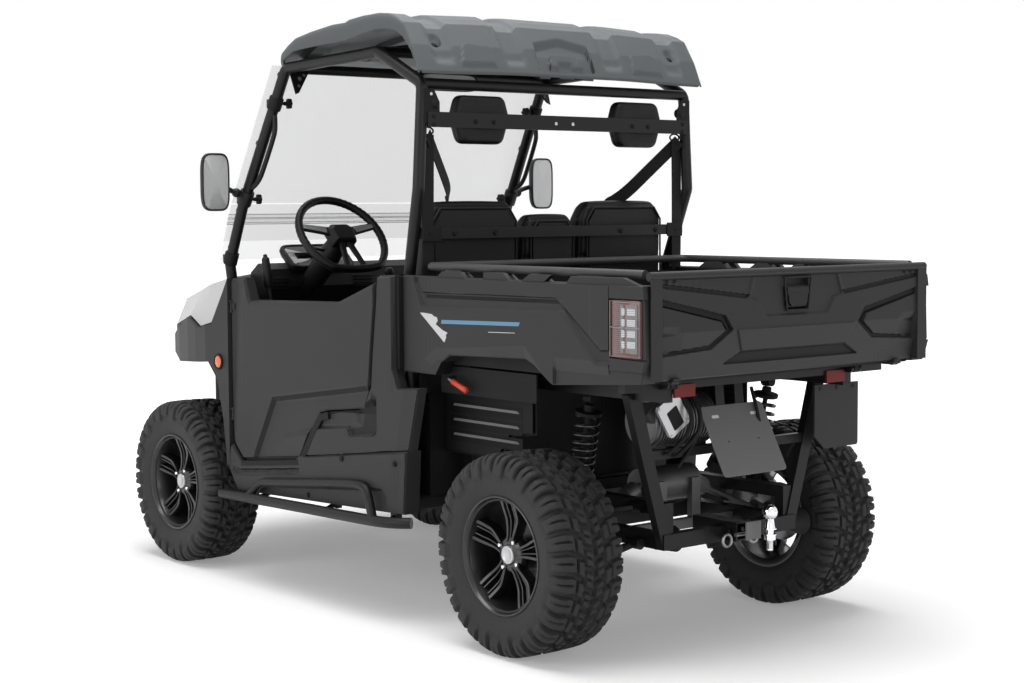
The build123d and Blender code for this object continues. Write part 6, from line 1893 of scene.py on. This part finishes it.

# %% [markdown]
# The panel behind the door is a relief as well. The hand hole is sunk in it with a shelf,
# and two thin dark plates on its top and its floor are painted shade.

# %% Side panel skins with the hand hole
panel_edge = ((-0.228, 0.530), (-0.161, 0.621), (-0.102, 0.690), (-0.053, 0.702), (0.181, 0.728), (0.231, 0.817),
              (0.239, 0.908), (0.267, 1.119), (0.273, 1.205), (0.361, 1.208), (0.362, 0.883), (0.388, 0.822),
              (0.499, 0.828), (0.441, 0.609), (-0.174, 0.530))
hand_hole = ((-0.110, 0.690), (0.029, 0.717), (0.150, 0.722), (0.192, 0.748), (0.225, 0.770), (0.263, 0.769),
             (0.261, 0.645), (0.090, 0.625), (0.076, 0.655), (-0.102, 0.635), (-0.150, 0.640))
hand_shelf = ((-0.110, 0.720), (0.029, 0.722), (0.133, 0.737), (0.153, 0.672), (0.080, 0.657), (-0.110, 0.640))
hole_top = ((0.136, 0.740), (0.2205, 0.784), (0.258, 0.767), (0.258, 0.722), (0.160, 0.712))
hole_floor = ((0.162, 0.668), (0.176, 0.712), (0.258, 0.722), (0.258, 0.650), (0.094, 0.630), (0.084, 0.652),
              (0.150, 0.664))
panel_rear_facet = ((0.405, 1.250), (0.560, 1.250), (0.560, 0.560), (0.365, 0.560), (0.400, 0.700), (0.425, 0.830))


def panel_relief(y, z):
    """A flat field with its rear folded back; the hand hole is sunk with a shelf in it."""
    rear = np.clip(inside_distance(y, z, panel_rear_facet) / 0.06, 0, 1)
    hole = np.clip(inside_distance(y, z, hand_hole) / 0.009, 0, 1)
    shelf = np.clip(inside_distance(y, z, hand_shelf) / 0.012, 0, 1)
    return 0.0150 - 0.008 * rear - 0.0135 * hole + 0.0045 * hole * shelf


panel_skin = outlined_relief(panel_edge, panel_relief, 0.6863, 0.6845)
piece("panel_skins", both(panel_skin), "body_grey_plastic", crease=28)
# dark plates on the hole's top and floor: painted shade
piece("hand_hole_top_shade", both(side_plate(hole_top, 0.6882, 0.0012)), "dull_black")
piece("hand_hole_floor_shade", both(side_plate(hole_floor, 0.6882, 0.0012)), "edge_plastic")

# %% [markdown]
# The sill is a stepped moulding: a tread with ribs where a boot lands, a body with a
# bolt, and a hollow low down behind the step tube.

# %% Sill skins
sill_edge = ((-0.7365, 0.434), (-0.672, 0.346), (0.425, 0.389), (0.441, 0.606), (-0.174, 0.527), (-0.229, 0.527),
             (-0.254, 0.505), (-0.640, 0.460), (-0.716, 0.523), (-0.7365, 0.438))
tread = ((-0.700, 0.440), (-0.650, 0.432), (-0.226, 0.481), (-0.222, 0.452), (-0.660, 0.404), (-0.712, 0.412))
low_hollow = ((-0.560, 0.385), (0.300, 0.468), (0.330, 0.440), (0.300, 0.360), (-0.540, 0.330))
sill_rear_facet = ((0.370, 0.700), (0.560, 0.700), (0.560, 0.300), (0.330, 0.300), (0.345, 0.440))


def sill_relief(y, z):
    """A flat field with a sunken tread, a hollow under it and its rear end folded back."""
    step_in = np.clip(inside_distance(y, z, tread) / 0.006, 0, 1)
    hollow = np.clip(inside_distance(y, z, low_hollow) / 0.014, 0, 1)
    rear = np.clip(inside_distance(y, z, sill_rear_facet) / 0.05, 0, 1)
    ribs = 0.002 * (np.sin((z - 0.115 * y) * 2 * math.pi / 0.011) > 0.2) * step_in
    return 0.0105 - 0.006 * step_in + ribs - 0.009 * hollow - 0.005 * rear


sill_skin = outlined_relief(sill_edge, sill_relief, 0.7003, 0.6985, count=70)
piece("sill_skins", both(sill_skin), "body_grey_plastic", crease=28)
sill_bolts = [bolt_head(place, (1, 0, 0), radius, 0.004) for radius, place in (
    (0.010, (0.7110, 0.057, 0.548)), (0.007, (0.7105, 0.380, 0.560)), (0.008, (0.7015, -0.180, 0.385)))]
gap_outline = ((-0.640, 0.474), (-0.250, 0.516), (-0.232, 0.524), (-0.232, 0.508), (-0.254, 0.500), (-0.640, 0.457))
gap_strip = side_plate(gap_outline, 0.683, 0.006)
piece("sill_bolts", both(join(*sill_bolts, gap_strip)), "dull_black")

# %% [markdown]
# ## Side steps
# The step is a stout tube along each side with a hoop welded over it, and arms that reach
# in under the sill. The tube bends in at its rear end; its ends are capped.

# %% Step tubes and hoops
step_path = ((0.740, -0.740, 0.328), (0.740, -0.300, 0.341), (0.740, 0.200, 0.352), (0.738, 0.390, 0.358),
             (0.690, 0.450, 0.361))
hoop_path = ((0.738, -0.556, 0.335), (0.730, -0.530, 0.352), (0.722, -0.480, 0.400), (0.722, -0.400, 0.406),
             (0.722, 0.060, 0.458), (0.722, 0.215, 0.470), (0.728, 0.250, 0.430), (0.737, 0.285, 0.358))
step_parts = [carried(circle(0.0195, 20), smooth_path(step_path, 12)),
              carried(circle(0.0165, 18), smooth_path(hoop_path, 12))]
arm_places = (-0.560, -0.130, 0.250)
step_parts += [carried(circle(0.010, 12), ((0.612, y, 0.350), (0.660, y, 0.330),
                                           (0.736, y, 0.331 + (y + 0.56) * 0.022))) for y in arm_places]
step_parts += [brick((0.600, y - 0.020, 0.334), (0.622, y + 0.020, 0.388)) for y in arm_places]
piece("step_tubes", both(join(*step_parts)),
      "frame_paint", hides=("side_steps",), crease=40)

# %% [markdown]
# Behind the cab a louvred cover closes the space over the rear wheel: three wide slots
# with a thin slat across each, its pale grey a painted highlight. The bed's release lever is a
# steel rod with a red grip.

# %% Louvres and release lever
slot_outline = ((0.440, -0.018), (0.452, -0.024), (0.822, -0.024), (0.834, -0.018), (0.834, 0.018), (0.440, 0.018))
slat_outline = ((0.458, 0.0), (0.816, 0.0), (0.808, 0.007), (0.466, 0.007))
slot_heights = (0.655, 0.706, 0.757)
slots = [side_plate(slot_outline, (0.5095, 0, z), 0.0012) for z in slot_heights]
# the slats' pale grey is a painted highlight on their edges
slats = [plate(slat_outline, (0.5110, 0, z - 0.002), (0, 1, 0), (0.35, 0, 0.94), (0.0, 0.0, 0.0030))
         for z in slot_heights]
cover_outline = ((0.410, 0.612), (0.420, 0.600), (0.700, 0.600), (0.765, 0.684), (0.885, 0.696), (0.885, 0.806),
                 (0.410, 0.806))
louvre_cover = side_plate(cover_outline, 0.5070, 0.0030)
louvre_tabs = [brick((0.5080, y, 0.797), (0.5130, y + 0.040, 0.809)) for y in (0.450, 0.560, 0.670, 0.780)]
piece("louvre_covers", both(join(louvre_cover, *louvre_tabs)), "edge_plastic", bevel=0.001)
piece("louvre_slots", both(join(*slots)), "dull_black")
piece("louvre_slats_painted_highlight", both(join(*slats)), "bracket_paint", slot="black_plastic")
stick_path = ((0.598, 0.571, 0.866), (0.617, 0.571, 0.866), (0.621, 0.585, 0.861), (0.621, 0.618, 0.850))
lever_stick = carried(circle(0.0065, 12), smooth_path(stick_path, 8))
lever_profile = ((0, 0), (0, 0.0085), (0.003, 0.0105), (0.030, 0.0098), (0.060, 0.0105), (0.078, 0.0108),
                 (0.083, 0.006), (0.084, 0))
lever_grip = turned(lever_profile, (0.621, 0.598, 0.8565), np.array((0, 0.670 - 0.600, 0.832 - 0.856)), 20)
piece("release_stick", lever_stick, "turned_steel")
piece("release_grip", lever_grip, "red_grip", slot="handle_red", hides=("bed_release_lever",))

# %% [markdown]
# ## Front end
# A round marker lamp sits in a dark bezel on each side. The nose carries a frame round
# each lamp and a row of slats below. They are turned rings, shells and bars.

# %% Marker bezels, lamp frames and nose slats
marker_place = (0.7125, -0.796, 0.840)
bezel_profile = ((0, 0.024), (0, 0.0315), (0.004, 0.0315), (0.006, 0.029), (0.006, 0.025), (0.004, 0.024))
lens_profile = ((0, 0), (0, 0.0245), (0.003, 0.0245), (0.006, 0.020), (0.0075, 0.010), (0.008, 0))
bezel, lens = (turned(profile, marker_place, (1, 0, 0), 40) for profile in (bezel_profile, lens_profile))
piece("marker_bezels", both(bezel), "dull_black")
piece("marker_lenses", both(lens), "orange_lens", slot="marker_orange", hides=("side_markers",))
frame_steps = ((0.70, 0.0), (0.86, 0.0), (0.90, 0.005), (1.0, 0.005), (1.0, -0.020), (0.05, -0.020))
nose_rings = [shell(superellipse(0.070, 0.030, 5.0, 40), (x, -1.5215, 0.825), (1, 0, 0), (0, 0, 1), frame_steps)
              for x in (-0.385, 0.385)]
piece("lamp_frames", join(*nose_rings), "black_plastic")
slat_rows = [brick((-0.250, -1.556, 0.548 + k * 0.030), (0.250, -1.548, 0.556 + k * 0.030)) for k in range(6)]
piece("nose_slats", join(*slat_rows), "dull_black", bevel=0.001)
